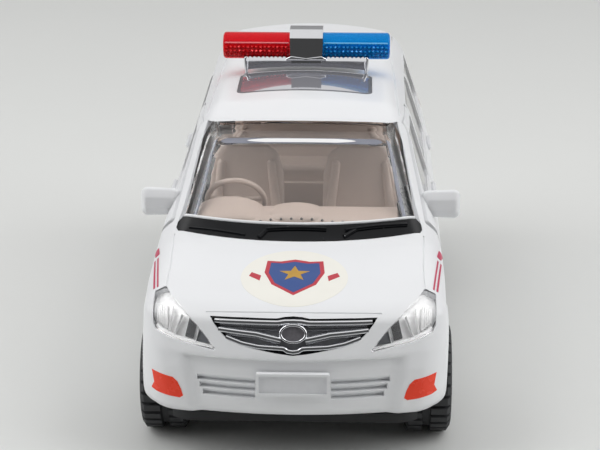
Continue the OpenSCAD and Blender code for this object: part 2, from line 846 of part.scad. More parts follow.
// Light bar: chrome bridge on a long foot, with a domed lens on each side
function crown_radius() =
    let (drop = roof_crown * pow(foot_half_length / side_width(bar_setback, roof_height), 2))
    (foot_half_length * foot_half_length + drop * drop) / (2 * drop);
module light_bar_bridge() {
    color([0.8, 0.82, 0.84])
        difference() {
            union() {
                translate([-foot_half_length, bar_setback - foot_half_depth, roof_height - roof_crown])
                    cube([2 * foot_half_length, 2 * foot_half_depth,
                        bar_base_z + foot_height - roof_height + roof_crown]);
                translate([-bridge_width / 2, bar_setback, lens_z]) rotate([0, 90, 0])
                    cylinder(h = bridge_width, r = bridge_radius, $fn = curve_facets);
                translate([-bridge_width / 2, bar_setback - bridge_radius, roof_height - roof_crown])
                    cube([bridge_width, 2 * bridge_radius, lens_z - roof_height + roof_crown]);
            }
            mirrored()
                translate([bridge_width / 2, bar_setback - foot_half_depth - overrun,
                    bar_base_z - roof_crown])
                    cube([foot_half_length - foot_toe - bridge_width / 2, 2 * (foot_half_depth + overrun),
                        foot_lift + roof_crown]);
            translate([0, bar_setback - bridge_radius - overrun, bar_base_z - crown_radius()])
                rotate([-90, 0, 0])
                cylinder(h = 2 * (bridge_radius + overrun), r = crown_radius(), $fn = curve_facets);
        }
}
function cap_profile(radius, length, cap) =
    [for (k = [0:cap_steps]) let (a = 90 * k / cap_steps) [radius * cos(a), length - cap + cap * sin(a)]];
module light_bar_lens() {
    length = (bar_length - bridge_width) / 2;
    translate([bridge_width / 2, bar_setback, lens_z]) rotate([0, 90, 0])
        difference() {
            rotate_extrude($fn = curve_facets)
                polygon(concat([[0, 0], [lens_radius, 0]], cap_profile(lens_radius, length, lens_cap)));
            rotate_extrude($fn = curve_facets)
                polygon(concat([[0, -overrun]],
                    [for (k = [0:2 * lens_ribs])
                        [lens_radius - lens_wall - (k % 2) * lens_rib,
                            mix(-overrun, length - lens_cap - lens_wall, k / (2 * lens_ribs))]],
                    [[0, length - lens_cap]]));
        }
}
module light_bar_lens_blue() { color([0.05, 0.25, 0.85, 0.7]) light_bar_lens(); }
module light_bar_lens_red() { color([0.85, 0.05, 0.08, 0.7]) mirror([1, 0, 0]) light_bar_lens(); }

// Interior moulding: floor, platform over the motor and three rows of seats
seat_back = 2.6;
seat_lean = 2.2;
bench_margin = 9.8;
bench_half_width = half_width - bench_margin;
bench_run = 9;
rear_bench_y = case_front_y + bench_run;
tail_bench_y = rear_axle_y + bench_run;
bench_rise = 3;
tub_rear_y = half_length - screw_inset / 2 - tub_wall;
seat_ys = [for (share = seat_run_shares) mix(tub_front_y, case_front_y, share)];
module seat(x, half, front, back, floor_z, cushion_z) {
    hull()
        for (side = [-1, 1]) for (y = [front + seat_round, back - seat_round])
            translate([x + side * (half - seat_round), y, floor_z])
                cylinder(h = cushion_z - floor_z, r = seat_round, $fn = facets);
    hull()
        for (side = [-1, 1]) {
            translate([x + side * (half - seat_round), back - seat_back / 2, cushion_z - seat_round])
                sphere(r = seat_back / 2, $fn = facets);
            translate([x + side * (half - 2 * seat_round), back - seat_back / 2 + seat_lean,
                seat_top - seat_back / 2])
                sphere(r = seat_back / 2, $fn = facets);
        }
}
module interior_tub() {
    floor_z = chassis_top;
    deck_z = platform_z + tub_wall;
    color([0.62, 0.57, 0.5])
        union() {
            translate([-tub_half_width, tub_front_y, floor_z])
                cube([2 * tub_half_width, case_front_y - fit - tub_front_y, tub_wall]);
            translate([-tub_half_width, tub_front_y, floor_z])
                cube([2 * tub_half_width, tub_wall, dash_floor - floor_z]);
            translate([-tub_half_width, case_front_y - fit - tub_wall, floor_z])
                cube([2 * tub_half_width, tub_wall, deck_z - floor_z]);
            translate([-tub_half_width, case_front_y - fit - tub_wall, platform_z])
                cube([2 * tub_half_width, tub_rear_y - case_front_y + fit + tub_wall, tub_wall]);
            mirrored()
                translate([tub_half_width - tub_wall, tub_front_y, floor_z])
                    cube([tub_wall, case_front_y - fit - tub_front_y, tub_rim]);
            for (side = [-1, 1])
                seat(side * seat_x, seat_half_width, seat_ys[0], seat_ys[1], floor_z + tub_wall / 2,
                    seat_height);
            seat(0, bench_half_width, case_front_y, rear_bench_y, deck_z - tub_wall / 2,
                deck_z + bench_rise);
            seat(0, bench_half_width, rear_axle_y, tail_bench_y, deck_z - tub_wall / 2,
                deck_z + bench_rise);
        }
}

// Dashboard with an instrument hood, and the steering wheel on its column
dash_nose = 5.8;
dash_face = 1.4;
column_radius = 0.8;
hub_radius = 1.4;
hub_height = 0.9;
spoke_width = 1;
module dashboard() {
    rear_y = tub_front_y + tub_wall + dash_lean;
    color([0.55, 0.5, 0.44])
        union() {
            translate([-dash_half_width, 0, 0]) rotate([90, 0, 90])
                linear_extrude(2 * dash_half_width)
                    polygon([
                        [rear_y - dash_run, dash_floor], [rear_y - dash_run, dash_top - dash_nose],
                        [rear_y - dash_lean, dash_top], [rear_y - dash_face / 2, dash_top],
                        [rear_y, dash_top - dash_face], [rear_y - dash_lean, dash_floor]
                    ]);
            intersection() {
                translate([steering_x, rear_y, dash_top - binnacle_radius / 2]) rotate([90, 0, 0])
                    cylinder(h = dash_lean, r = binnacle_radius, $fn = curve_facets);
                translate([steering_x - binnacle_radius, rear_y - dash_lean, dash_top - dash_face])
                    cube([2 * binnacle_radius, dash_lean, binnacle_radius]);
            }
        }
}
module steering_wheel() {
    reach = steering_y - tub_front_y - tub_wall - dash_lean;
    color([0.2, 0.19, 0.18])
        translate([steering_x, steering_y, steering_z]) rotate([180 - steering_tilt, 0, 0])
            union() {
                rotate_extrude($fn = curve_facets) translate([steering_radius - steering_rim, 0])
                    circle(r = steering_rim, $fn = facets);
                translate([0, 0, -hub_height / 2]) cylinder(h = hub_height, r = hub_radius, $fn = facets);
                for (a = [0, 180, 270])
                    rotate([0, 0, a]) translate([0, -spoke_width / 2, -steering_rim / 2])
                        cube([steering_radius - steering_rim, spoke_width, steering_rim]);
                cylinder(h = (reach - 2 * fit) / sin(steering_tilt), r = column_radius, $fn = facets);
            }
}

// Chassis plate, with saddles for the front axle and a slot under the axle pinion
pinion_slot_margin = 0.6;
module chassis_plate_outline() {
    union() {
        square([2 * chassis_half_width, 2 * (chassis_half_length - chassis_corner)], center = true);
        square([2 * (chassis_half_width - chassis_corner), 2 * chassis_half_length], center = true);
        for (x = [-1, 1])
            for (y = [-1, 1])
                translate([x * (chassis_half_width - chassis_corner),
                    y * (chassis_half_length - chassis_corner)])
                    circle(r = chassis_corner, $fn = curve_facets);
    }
}
module chassis_base() {
    slot_half_length = tip_radius(pinion_teeth) + pinion_slot_margin;
    color([0.07, 0.07, 0.08])
        difference() {
            union() {
                translate([0, 0, chassis_bottom]) linear_extrude(chassis_wall) chassis_plate_outline();
                for (side = [-1, 1])
                    translate([side * saddle_x - saddle_width / 2, front_axle_y - saddle_length / 2,
                        chassis_bottom])
                        cube([saddle_width, saddle_length, wheel_radius + saddle_rise - chassis_bottom]);
            }
            mirrored()
                for (y = [front_axle_y, rear_axle_y])
                    translate([arch_inner_x, y - arch_radius, chassis_bottom - overrun])
                        cube([half_width, 2 * arch_radius, chassis_wall + 2 * overrun]);
            translate([-half_width, front_axle_y, wheel_radius]) rotate([0, 90, 0])
                cylinder(h = body_width, r = axle_radius + running_fit, $fn = curve_facets);
            translate([-pinion_slot_margin, rear_axle_y - slot_half_length, chassis_bottom - overrun])
                cube([gear_width + gear_gap + 2 * pinion_slot_margin, 2 * slot_half_length,
                    chassis_wall + 2 * overrun]);
            for (x = [-screw_x, screw_x])
                for (y = screw_ys)
                    translate([x, y, chassis_bottom - overrun]) {
                        cylinder(h = chassis_wall + 2 * overrun, r = screw_radius + fit,
                            $fn = curve_facets);
                        cylinder(h = overrun + screw_head_height, r = screw_head_radius + fit,
                            $fn = curve_facets);
                    }
        }
}
module chassis_screws() {
    color([0.6, 0.61, 0.63])
        for (x = [-screw_x, screw_x])
            for (y = screw_ys)
                translate([x, y, chassis_bottom])
                    difference() {
                        union() {
                            cylinder(h = screw_head_height, r = screw_head_radius, $fn = curve_facets);
                            cylinder(h = screw_length, r = screw_radius, $fn = curve_facets);
                        }
                        for (a = [0, 90])
                            rotate([0, 0, a]) translate([-screw_radius, -slot_width / 2, -overrun])
                                cube([2 * screw_radius, slot_width, overrun + screw_head_height / 2]);
                    }
}

// Door hinges: a socket on the body and a pin through it
module door_socket() {
    translate([hinge_x, hinge_y, hinge_z - socket_height / 2])
        difference() {
            union() {
                cylinder(h = socket_height, r = socket_radius, $fn = curve_facets);
                translate([-socket_radius, -socket_tab_length, 0])
                    cube([socket_tab_width, socket_tab_length, socket_height]);
            }
            translate([0, 0, -overrun])
                cylinder(h = socket_height + 2 * overrun, r = hinge_pin_radius + running_fit,
                    $fn = curve_facets);
        }
}
module door_sockets() {
    color("whitesmoke") mirrored() door_socket();
}
module door_pin() {
    translate([hinge_x, hinge_y, hinge_z - pin_height / 2])
        cylinder(h = pin_height, r = hinge_pin_radius, $fn = curve_facets);
}
module door_pin_left() { color("silver") door_pin(); }
module door_pin_right() { color("silver") mirror([1, 0, 0]) door_pin(); }

// Front doors: a skin with its window, lugs for the hinge pin, a handle and an arm rest
arm_rest_drop = 8;
arm_rest_margin = 6;
arm_rest_radius = 0.9;
rib_height = 8;
module door_lugs() {
    lug_height = (pin_height - socket_height) / 2;
    for (side = [-1, 1]) {
        foot = hinge_z + fit + (side * (socket_height + lug_height) - lug_height) / 2;
        hull()
            for (y = [hinge_y, hinge_y + lug_radius])
                translate([hinge_x, y, foot])
                    cylinder(h = lug_height - 2 * fit, r = lug_radius, $fn = facets);
    }
}
module door_inner_ribs() {
    rest_z = waist_height - arm_rest_drop;
    for (y = [door_front_y + arm_rest_margin, door_rear_y - arm_rest_margin])
        hull()
            for (z = [rest_z - rib_height, rest_z])
                translate([side_width(y, z) - shell_wall, y, z])
                    sphere(r = arm_rest_radius / 2, $fn = ball_facets);
    hull()
        for (y = [door_front_y + arm_rest_margin, door_rear_y - arm_rest_margin])
            translate([side_width(y, rest_z) - shell_wall, y, rest_z])
                sphere(r = arm_rest_radius, $fn = ball_facets);
}
module front_door() {
    difference() {
        union() {
            intersection() {
                layer(0, shell_wall);
                door_prism(0, 0, tub_half_width / 2, half_width + overrun);
            }
            intersection() {
                skin(shell_wall / 2);
                union() {
                    door_lugs();
                    door_inner_ribs();
                }
            }
            handle(door_front_y + door_length - arm_rest_margin - handle_length / 2);
        }
        door_window(0, 0, half_width + overrun);
        translate([hinge_x, hinge_y, hinge_z - socket_height / 2 - fit])
            cylinder(h = socket_height + 2 * fit, r = socket_radius + 2 * fit, $fn = facets);
        translate([hinge_x - socket_radius - 2 * fit, hinge_y - socket_tab_length,
            hinge_z - socket_height / 2 - fit])
            cube([half_width, socket_tab_length, socket_height + 2 * fit]);
        translate([hinge_x, hinge_y, hinge_z - pin_height / 2 - fit])
            cylinder(h = pin_height + 2 * fit, r = hinge_pin_radius + running_fit, $fn = facets);
    }
}
module front_door_left() { color("white") front_door(); }
module front_door_right() { color("white") mirror([1, 0, 0]) front_door(); }

// Door panes, cut strip by strip from the layer behind the door's skin
pane_strips = 8;
pane_lap = 0.8;
module door_pane() {
    edge = door_frame - pane_lap;
    low = waist_height - pane_lap / 2;
    high = door_top - edge;
    front_ys = [door_edge_y(low) + edge + window_round, door_edge_y(high) + edge + window_round];
    rear_y = door_rear_y - edge;
    intersection() {
        layer(glass_inset, glass_inset + glass_wall);
        for (k = [0:pane_strips - 1])
            across_prism([for (t = [k, k + 1]) for (end = [0, 1])
                [mix(front_ys[end], rear_y, t / pane_strips), end == 0 ? low : high]], fit, 0, half_width);
    }
}
module door_pane_left() { color([0.75, 0.8, 0.82, 0.5]) door_pane(); }
module door_pane_right() { color([0.75, 0.8, 0.82, 0.5]) mirror([1, 0, 0]) door_pane(); }

// Door mirrors: a rounded housing on a short arm at the foot of the pillar
mirror_setback = 1.7;
mirror_rise = 2.15;
mirror_height = 5;
mirror_depth = 1.9;
mirror_foot = 0.4;
module door_mirror() {
    z = waist_height + mirror_rise;
    y = door_edge_y(z) + mirror_setback;
    foot_z = z - mirror_height / 4;
    skin_x = side_width(y, foot_z) + mirror_foot + fit;
    inner_x = skin_x + mirror_foot;
    hull()
        for (end = [[inner_x + mirror_depth / 2, mirror_height / 2 - mirror_depth / 2],
                    [inner_x + mirror_width - mirror_depth / 2, mirror_height / 2 - mirror_depth / 2]])
            for (side = [-1, 1])
                translate([end[0], y, z + side * end[1]]) sphere(r = mirror_depth / 2, $fn = facets);
    hull() {
        translate([skin_x, y, foot_z]) sphere(r = mirror_foot, $fn = ball_facets);
        translate([inner_x + mirror_depth / 2, y, foot_z])
            sphere(r = mirror_foot, $fn = ball_facets);
    }
}
module door_mirror_left() { color("white") door_mirror(); }
module door_mirror_right() { color("white") mirror([1, 0, 0]) door_mirror(); }

// Axles, rims and tyres
axle_tip_inset = 0.9;
tyre_shoulder = 1.1;
tread_depth = 0.6;
tread_width = 0.7;
tread_slots = 24;
slot_gap = 0.55;
rim_inset = 0.5;
rim_dish = 1.2;
rim_wall = 0.9;
rim_disc = 1.4;
hub_outer_radius = 1.9;
rim_windows = 6;
rim_window_radius = 1.05;
module axle(y) {
    half = track / 2 + tyre_width / 2 - axle_tip_inset;
    translate([-half, y, wheel_radius]) rotate([0, 90, 0])
        cylinder(h = 2 * half, r = axle_radius, $fn = curve_facets);
}
module front_axle() { color("silver") axle(front_axle_y); }
module rear_axle() { color("silver") axle(rear_axle_y); }
module tyre() {
    half = tyre_width / 2;
    mid = wheel_radius - tread_depth;
    difference() {
        rotate_extrude($fn = curve_facets)
            polygon([
                [rim_radius, -half + tyre_shoulder / 2], [rim_radius + tyre_shoulder / 2, -half],
                [wheel_radius - tyre_shoulder, -half],
                [wheel_radius - tyre_shoulder / 4, -half + tyre_shoulder / 3],
                [wheel_radius, -half + tyre_shoulder],
                [wheel_radius, -tread_width], [mid, -tread_width], [mid, tread_width],
                [wheel_radius, tread_width],
                [wheel_radius, half - tyre_shoulder],
                [wheel_radius - tyre_shoulder / 4, half - tyre_shoulder / 3],
                [wheel_radius - tyre_shoulder, half], [rim_radius + tyre_shoulder / 2, half],
                [rim_radius, half - tyre_shoulder / 2]
            ]);
        for (k = [0:tread_slots - 1])
            rotate([0, 0, (k + 1 / 2) * 360 / tread_slots])
                for (side = [-1, 1])
                    translate([mid, -slot_gap / 2, side > 0 ? tread_width * 2 : -half - overrun])
                        cube([tread_depth + overrun, slot_gap, half + overrun - tread_width * 2]);
    }
}
module rim() {
    half = tyre_width / 2 - rim_inset;
    difference() {
        rotate_extrude($fn = curve_facets)
            polygon([
                [axle_radius, -half], [hub_outer_radius, -half],
                [hub_outer_radius, half - rim_dish - rim_disc],
                [rim_radius - rim_wall, half - rim_dish - rim_disc], [rim_radius - rim_wall, -half],
                [rim_radius, -half],
                [rim_radius, half], [rim_radius - rim_wall / 2, half],
                [rim_radius - rim_wall, half - rim_dish],
                [hub_outer_radius, half - rim_dish / 2], [hub_outer_radius - rim_wall / 2, half],
                [axle_radius, half]
            ]);
        for (k = [0:rim_windows - 1])
            rotate([0, 0, k * 360 / rim_windows])
                translate([(rim_radius - rim_wall + hub_outer_radius) / 2, 0, -half])
                cylinder(h = tyre_width, r = rim_window_radius, $fn = curve_facets);
    }
}
module at_wheel(side, y) {
    translate([side * track / 2, y, wheel_radius]) rotate([0, side * 90, 0]) children();
}
module rim_front_left() { color("lightgray") at_wheel(1, front_axle_y) rim(); }
module rim_front_right() { color("lightgray") at_wheel(-1, front_axle_y) rim(); }
module rim_rear_left() { color("lightgray") at_wheel(1, rear_axle_y) rim(); }
module rim_rear_right() { color("lightgray") at_wheel(-1, rear_axle_y) rim(); }
module tyre_front_left() { color([0.08, 0.08, 0.08]) at_wheel(1, front_axle_y) tyre(); }
module tyre_front_right() { color([0.08, 0.08, 0.08]) at_wheel(-1, front_axle_y) tyre(); }
module tyre_rear_left() { color([0.08, 0.08, 0.08]) at_wheel(1, rear_axle_y) tyre(); }
module tyre_rear_right() { color([0.08, 0.08, 0.08]) at_wheel(-1, rear_axle_y) tyre(); }

// Gears: involute flanks, thinned a little so that they run free
function involute(angle) = tan(angle) * 180 / PI - angle;
function tooth_flank(teeth, side) =
    let (
        pitch = pitch_radius(teeth),
        base = pitch * cos(pressure_angle),
        low = max(base, pitch - dedendum_share * gear_module),
        half = 90 / teeth - backlash / 2 / pitch * 180 / PI / 2
    )
    [for (k = [0:flank_steps])
        let (r = mix(low, tip_radius(teeth), k / flank_steps),
            a = side * (half + involute(pressure_angle) - involute(acos(min(1, base / r)))))
        r * [cos(a), sin(a)]];
function tooth_root(teeth, side) =
    let (foot = tooth_flank(teeth, side)[0], r = pitch_radius(teeth) - dedendum_share * gear_module)
    r * foot / norm(foot);
function turned(p, a) = [p.x * cos(a) - p.y * sin(a), p.x * sin(a) + p.y * cos(a)];
function gear_outline(teeth, phase) =
    [for (k = [0:teeth - 1])
        let (lower = tooth_flank(teeth, -1), upper = tooth_flank(teeth, 1),
            tooth = concat([tooth_root(teeth, -1)], lower, [for (j = [flank_steps:-1:0]) upper[j]],
                [tooth_root(teeth, 1)]))
        each [for (p = tooth) turned(p, phase + k * 360 / teeth)]];
module on_arbor(place, x) {
    translate([x, place.x, place.y]) rotate([90, 0, 90]) children();
}
module gear(teeth, phase) {
    linear_extrude(gear_width) polygon(gear_outline(teeth, phase));
}
module bore(radius) {
    translate([0, 0, -body_width / 2]) cylinder(h = body_width, r = radius, $fn = curve_facets);
}
module axle_pinion() {
    color("gold")
        on_arbor(axle_place, gear_gap / 2)
            difference() {
                gear(pinion_teeth, reduction_angle);
                bore(axle_radius);
            }
}
module reduction_gear() {
    hub = tip_radius(pinion_teeth) - addendum_share * gear_module * 2;
    color("ivory")
        difference() {
            union() {
                on_arbor(reduction_place, gear_gap / 2) gear(reduction_teeth, reduction_phase);
                on_arbor(reduction_place, -gear_gap / 2 - gear_width) gear(pinion_teeth, drum_angle);
                on_arbor(reduction_place, -gear_gap / 2)
                    cylinder(h = gear_gap, r = hub, $fn = curve_facets);
            }
            on_arbor(reduction_place, 0) bore(arbor_radius + running_fit);
        }
}
module drum_gear() {
    color("ivory")
        difference() {
            union() {
                on_arbor(drum_place, -gear_gap / 2 - gear_width) gear(drum_teeth, drum_phase);
                on_arbor(drum_place, spring_x)
                    cylinder(h = spring_width, r = drum_cup_radius + drum_cup_wall, $fn = curve_facets);
            }
            on_arbor(drum_place, spring_x - overrun)
                cylinder(h = spring_width + overrun, r = drum_cup_radius, $fn = curve_facets);
            on_arbor(drum_place, 0) bore(arbor_radius + running_fit);
        }
}

// Mainspring, a flat spiral of strip inside the drum
function spiral(t, offset) =
    let (a = t * spring_turns * 360, r = mix(spring_inner, spring_outer, t) + offset)
    r * [cos(a), sin(a)];
module mainspring() {
    steps = spring_turns * spring_steps;
    color("dimgray")
        on_arbor(drum_place, spring_x)
            linear_extrude(spring_width - fit)
                polygon(concat(
                    [for (k = [0:steps]) spiral(k / steps, spring_wall / 2)],
                    [for (k = [steps:-1:0]) spiral(k / steps, -spring_wall / 2)]
                ));
}
module arbor(place) {
    on_arbor(place, case_left_x)
        cylinder(h = case_right_x - case_left_x, r = arbor_radius, $fn = curve_facets);
}
module reduction_arbor() { color("silver") arbor(reduction_place); }
module drum_arbor() { color("silver") arbor(drum_place); }

// Motor case, open below and on one side, and the cover that closes that side
module motor_bores() {
    on_arbor(axle_place, 0) bore(axle_radius + running_fit);
    on_arbor(reduction_place, 0) bore(arbor_radius);
    on_arbor(drum_place, 0) bore(arbor_radius);
}
module motor_case() {
    color([0.25, 0.27, 0.3])
        difference() {
            translate([case_left_x, case_front_y, chassis_top])
                cube([case_right_x - case_wall - case_left_x, case_rear_y - case_front_y,
                    case_top - chassis_top]);
            translate([case_left_x + case_wall, case_front_y + case_wall, chassis_top - overrun])
                cube([case_right_x - case_left_x, case_rear_y - case_front_y - 2 * case_wall,
                    case_top - chassis_top + overrun - case_wall]);
            motor_bores();
        }
}
module motor_cover() {
    color([0.3, 0.32, 0.35])
        difference() {
            translate([case_right_x - case_wall, case_front_y, chassis_top])
                cube([case_wall, case_rear_y - case_front_y, case_top - chassis_top]);
            motor_bores();
        }
}

body_shell();
window_glazing();
roof_pane();
cowl_panel();
grille_backing();
grille_bars();
grille_badge();
headlamp_reflector_left();
headlamp_reflector_right();
headlamp_lens_left();
headlamp_lens_right();
tail_lamp_left();
tail_lamp_right();
front_plate();
rear_plate();
light_bar_bridge();
light_bar_lens_red();
light_bar_lens_blue();
interior_tub();
dashboard();
steering_wheel();
chassis_base();
chassis_screws();
door_sockets();
front_door_left();
front_door_right();
door_mirror_left();
door_mirror_right();
door_pane_left();
door_pane_right();
door_pin_left();
door_pin_right();
front_axle();
rear_axle();
rim_front_left();
rim_front_right();
rim_rear_left();
rim_rear_right();
tyre_front_left();
tyre_front_right();
tyre_rear_left();
tyre_rear_right();
motor_case();
motor_cover();
axle_pinion();
reduction_gear();
drum_gear();
mainspring();
reduction_arbor();
drum_arbor();
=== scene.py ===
# %% [markdown]
# # A toy police people carrier
#
# The toy is a handful of injection mouldings: a white body, two doors, a clear window moulding,
# a beige interior, a black base with axles, and small plated and printed trim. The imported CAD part
# fixes the sizes and the joints. This lesson dresses it piece by piece, in the same frame, in the
# order in which a toy maker would mould, plate, print and fit the pieces.

# %% Packages and frame
import json
import math

import bmesh
import bpy
import numpy as np
from mathutils import Matrix, Vector, geometry
from mathutils.bvhtree import BVHTree

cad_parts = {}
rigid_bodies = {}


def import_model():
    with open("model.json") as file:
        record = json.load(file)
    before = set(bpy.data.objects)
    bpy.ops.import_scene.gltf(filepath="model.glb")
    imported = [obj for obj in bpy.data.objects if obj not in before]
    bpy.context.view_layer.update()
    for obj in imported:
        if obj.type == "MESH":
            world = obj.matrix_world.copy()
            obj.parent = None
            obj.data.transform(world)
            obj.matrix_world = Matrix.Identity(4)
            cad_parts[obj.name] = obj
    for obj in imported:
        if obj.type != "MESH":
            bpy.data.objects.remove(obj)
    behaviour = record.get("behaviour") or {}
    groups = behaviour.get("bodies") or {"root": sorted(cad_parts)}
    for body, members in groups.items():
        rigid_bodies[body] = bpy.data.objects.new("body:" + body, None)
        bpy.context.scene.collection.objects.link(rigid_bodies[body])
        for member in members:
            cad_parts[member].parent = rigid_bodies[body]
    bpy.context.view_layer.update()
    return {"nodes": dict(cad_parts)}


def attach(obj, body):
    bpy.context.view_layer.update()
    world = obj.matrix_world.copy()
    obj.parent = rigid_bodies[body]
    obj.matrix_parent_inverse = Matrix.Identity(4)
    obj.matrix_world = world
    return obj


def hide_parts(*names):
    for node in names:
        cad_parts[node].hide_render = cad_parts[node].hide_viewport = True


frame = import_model()
MM = 0.001
scene = bpy.context.scene

# %% [markdown]
# ## Camera
#
# A close product shot: a long lens, a little above the bonnet, looking almost straight at the nose.
# The values are a fit of the lamp, grille and window corners in the picture.

# %% Camera from the fit
picture_size = (600, 450)
focal_pixels = 1917.4
optical_centre = (303.7, 201.9)
camera_aim = np.array([-0.186, 0, 26.0])
camera_distance = 358.8
camera_rise = math.radians(17.81)
camera_turn = math.radians(1.76)
sensor_width = 36

back = np.array([
    math.sin(camera_turn) * math.cos(camera_rise), -math.cos(camera_turn) * math.cos(camera_rise),
    math.sin(camera_rise)])
right = np.array([math.cos(camera_turn), math.sin(camera_turn), 0])
camera = bpy.data.cameras.new("camera")
camera.lens = sensor_width * focal_pixels / picture_size[0]
camera.sensor_width = sensor_width
camera.shift_x = (picture_size[0] / 2 - optical_centre[0]) / picture_size[0]
camera.shift_y = (optical_centre[1] - picture_size[1] / 2) / picture_size[0]
camera.clip_start = 0.01
view = bpy.data.objects.new("camera", camera)
view.matrix_world = Matrix.Translation((camera_aim + back * camera_distance) * MM) @ Matrix(
    np.array([right, np.cross(back, right), back]).T.tolist()).to_4x4()
scene.collection.objects.link(view)
scene.camera = view
print("camera: lens %.1f mm, %.0f mm from the toy" % (camera.lens, camera_distance))

# %% [markdown]
# ## Colours and nodes
#
# Colours are written as the hex codes that a designer reads off a swatch and turned into linear
# light once. One function adds any node, and one builds a moulded surface: a colour that drifts by
# a few per cent and a gloss that varies over patches of a given size, as real mouldings do.

# %% Helpers for colours, nodes and surfaces
def linear(code):
    """A colour in linear light from its hex code."""
    shares = [int(code[k:k + 2], 16) / 255 for k in (0, 2, 4)]
    return [s / 12.92 if s <= 0.04045 else ((s + 0.055) / 1.055) ** 2.4 for s in shares] + [1.0]


def add(tree, kind, inputs=None, **settings):
    """A new node with its settings, and its inputs fed by values or by other sockets."""
    node = tree.nodes.new(kind)
    for name, value in settings.items():
        setattr(node, name, value)
    for name, value in (inputs or {}).items():
        if isinstance(value, bpy.types.NodeSocket):
            tree.links.new(value, node.inputs[name])
        else:
            node.inputs[name].default_value = value
    return node


def surface(name, code, patch=4.0, drift=0.03, gloss=(0.25, 0.35), see_through=None, specks=None, **inputs):
    """A moulded surface; patch is in mm, see_through is the tint that lamps get when they shine in."""
    material = bpy.data.materials.new(name)
    material.use_nodes = True
    tree = material.node_tree
    tree.nodes.clear()
    place = add(tree, "ShaderNodeTexCoord")
    noise = add(tree, "ShaderNodeTexNoise", {
        "Vector": place.outputs["Object"], "Scale": 1 / (patch * MM), "Detail": 3.0})
    dark, pale = [[min(1, c * s) for c in linear(code)[:3]] + [1.0] for s in (1 - drift, 1 + drift)]
    tone = add(tree, "ShaderNodeMix", {0: noise.outputs["Fac"], 6: dark, 7: pale}, data_type="RGBA")
    colour = tone.outputs[2]
    if specks:
        size, share, speck_code = specks
        cells = add(tree, "ShaderNodeTexVoronoi", {
            "Vector": place.outputs["Object"], "Scale": 1 / (size * MM)})
        dots = add(tree, "ShaderNodeMath", {0: cells.outputs["Distance"], 1: share}, operation="LESS_THAN")
        colour = add(tree, "ShaderNodeMix", {
            0: dots.outputs[0], 6: colour, 7: linear(speck_code)}, data_type="RGBA").outputs[2]
    rough = add(tree, "ShaderNodeMapRange", {
        "Value": noise.outputs["Fac"], "To Min": gloss[0], "To Max": gloss[1]})
    shader = add(tree, "ShaderNodeBsdfPrincipled", {
        "Base Color": colour, "Roughness": rough.outputs["Result"], **inputs})
    shown = shader.outputs["BSDF"]
    if see_through:
        path = add(tree, "ShaderNodeLightPath")
        open_way = add(tree, "ShaderNodeBsdfTransparent", {"Color": linear(see_through)})
        shown = add(tree, "ShaderNodeMixShader", {
            0: path.outputs["Is Shadow Ray"], 1: shown, 2: open_way.outputs["BSDF"]}).outputs[0]
    add(tree, "ShaderNodeOutputMaterial", {"Surface": shown})
    return material


print("a mid grey in linear light: %.3f" % linear("808080")[0])

# %% [markdown]
# ## Materials
#
# Each is named for what the real toy is made of. Patch sizes are real: mould flow marks of a few
# millimetres on the shell, finer on plated and printed parts.

# %% Plastics, plating, paint and rubber
# Bright body plastic: a soft, slightly blurred shine and a cool white
white_abs = surface("white ABS", "E9EAEC", 6.0, 0.012, (0.26, 0.36), IOR=1.53)
# Clear windows: sharp reflections over a view of the cabin
clear_styrene = surface("clear polystyrene", "FAFBFB", 9.0, 0.01, (0.01, 0.03), "FAFBFB",
                        **{"Transmission Weight": 1.0, "IOR": 1.5})
# Sloping edges of the windscreen: a painted reflection of the sky, a pale band round the panel
painted_reflection_styrene = surface("polystyrene with painted sky reflection", "B4B8C6", 3.0, 0.12, (0.05, 0.1), IOR=1.5,
                        **{"Transmission Weight": 0.45})
# Upper edge of the windscreen: a painted highlight, a white line where it turns most to the sky
painted_highlight_styrene = surface("polystyrene with painted highlight", "FFFFFF", 3.0, 0.05, (0.05, 0.1), IOR=1.6)
# Lamp covers: clear and so thin that the bowl shows through with little bending
lamp_styrene = surface("clear lamp styrene", "FFFFFF", 5.0, 0.01, (0.01, 0.03), "FFFFFF",
                       **{"Transmission Weight": 1.0, "IOR": 1.32})
# Roof pane: a grey glaze that mirrors the light bar
smoked_styrene = surface("smoked polystyrene", "8E8E95", 8.0, 0.03, (0.05, 0.08), IOR=1.6,
                         **{"Coat Weight": 1.0, "Coat Roughness": 0.03, "Coat IOR": 3.2})
# Cowl, wipers and grille lip: deep gloss with a few specks of dust
black_abs = surface("gloss black ABS", "0C0D10", 3.0, 0.6, (0.1, 0.24), specks=(2.2, 0.05, "8E8F90"),
                    IOR=1.3)
# Plated trim: bright with slight waves
chrome = surface("vacuum-plated chrome", "E3E4E7", 2.5, 0.03, (0.06, 0.14), Metallic=1.0)
# Plated depth of the grille: the same metal, made less bright by painted shade, and finer grained
shaded_chrome = surface("plated ABS with painted shade", "A2A3A8", 0.7, 0.2, (0.25, 0.4), Metallic=0.55)
# Lamp bowls: nearly matt white, a painted reflection of a bright sky in place of the plating
painted_sky_bowl = surface("lamp bowl with painted sky reflection", "FFFFFF", 2.0, 0.02, (0.16, 0.26), Metallic=0.04)
# Coloured lenses: clear plastic dyed right through
red_styrene = surface("red polystyrene", "E41C28", 5.0, 0.03, (0.03, 0.08), "F0A0A0",
                      **{"Transmission Weight": 0.7, "IOR": 1.22})
blue_styrene = surface("blue polystyrene", "0690DC", 5.0, 0.03, (0.03, 0.08), "A0C8F0",
                       **{"Transmission Weight": 0.7, "IOR": 1.22})
# Prism beds in the lenses: the same dyes, broken up into small glints
red_prism = surface("red prism styrene", "DC1A22", 0.9, 0.35, (0.05, 0.12), IOR=1.6, Metallic=0.35)
blue_prism = surface("blue prism styrene", "048AD2", 0.9, 0.35, (0.05, 0.12), IOR=1.6, Metallic=0.35)
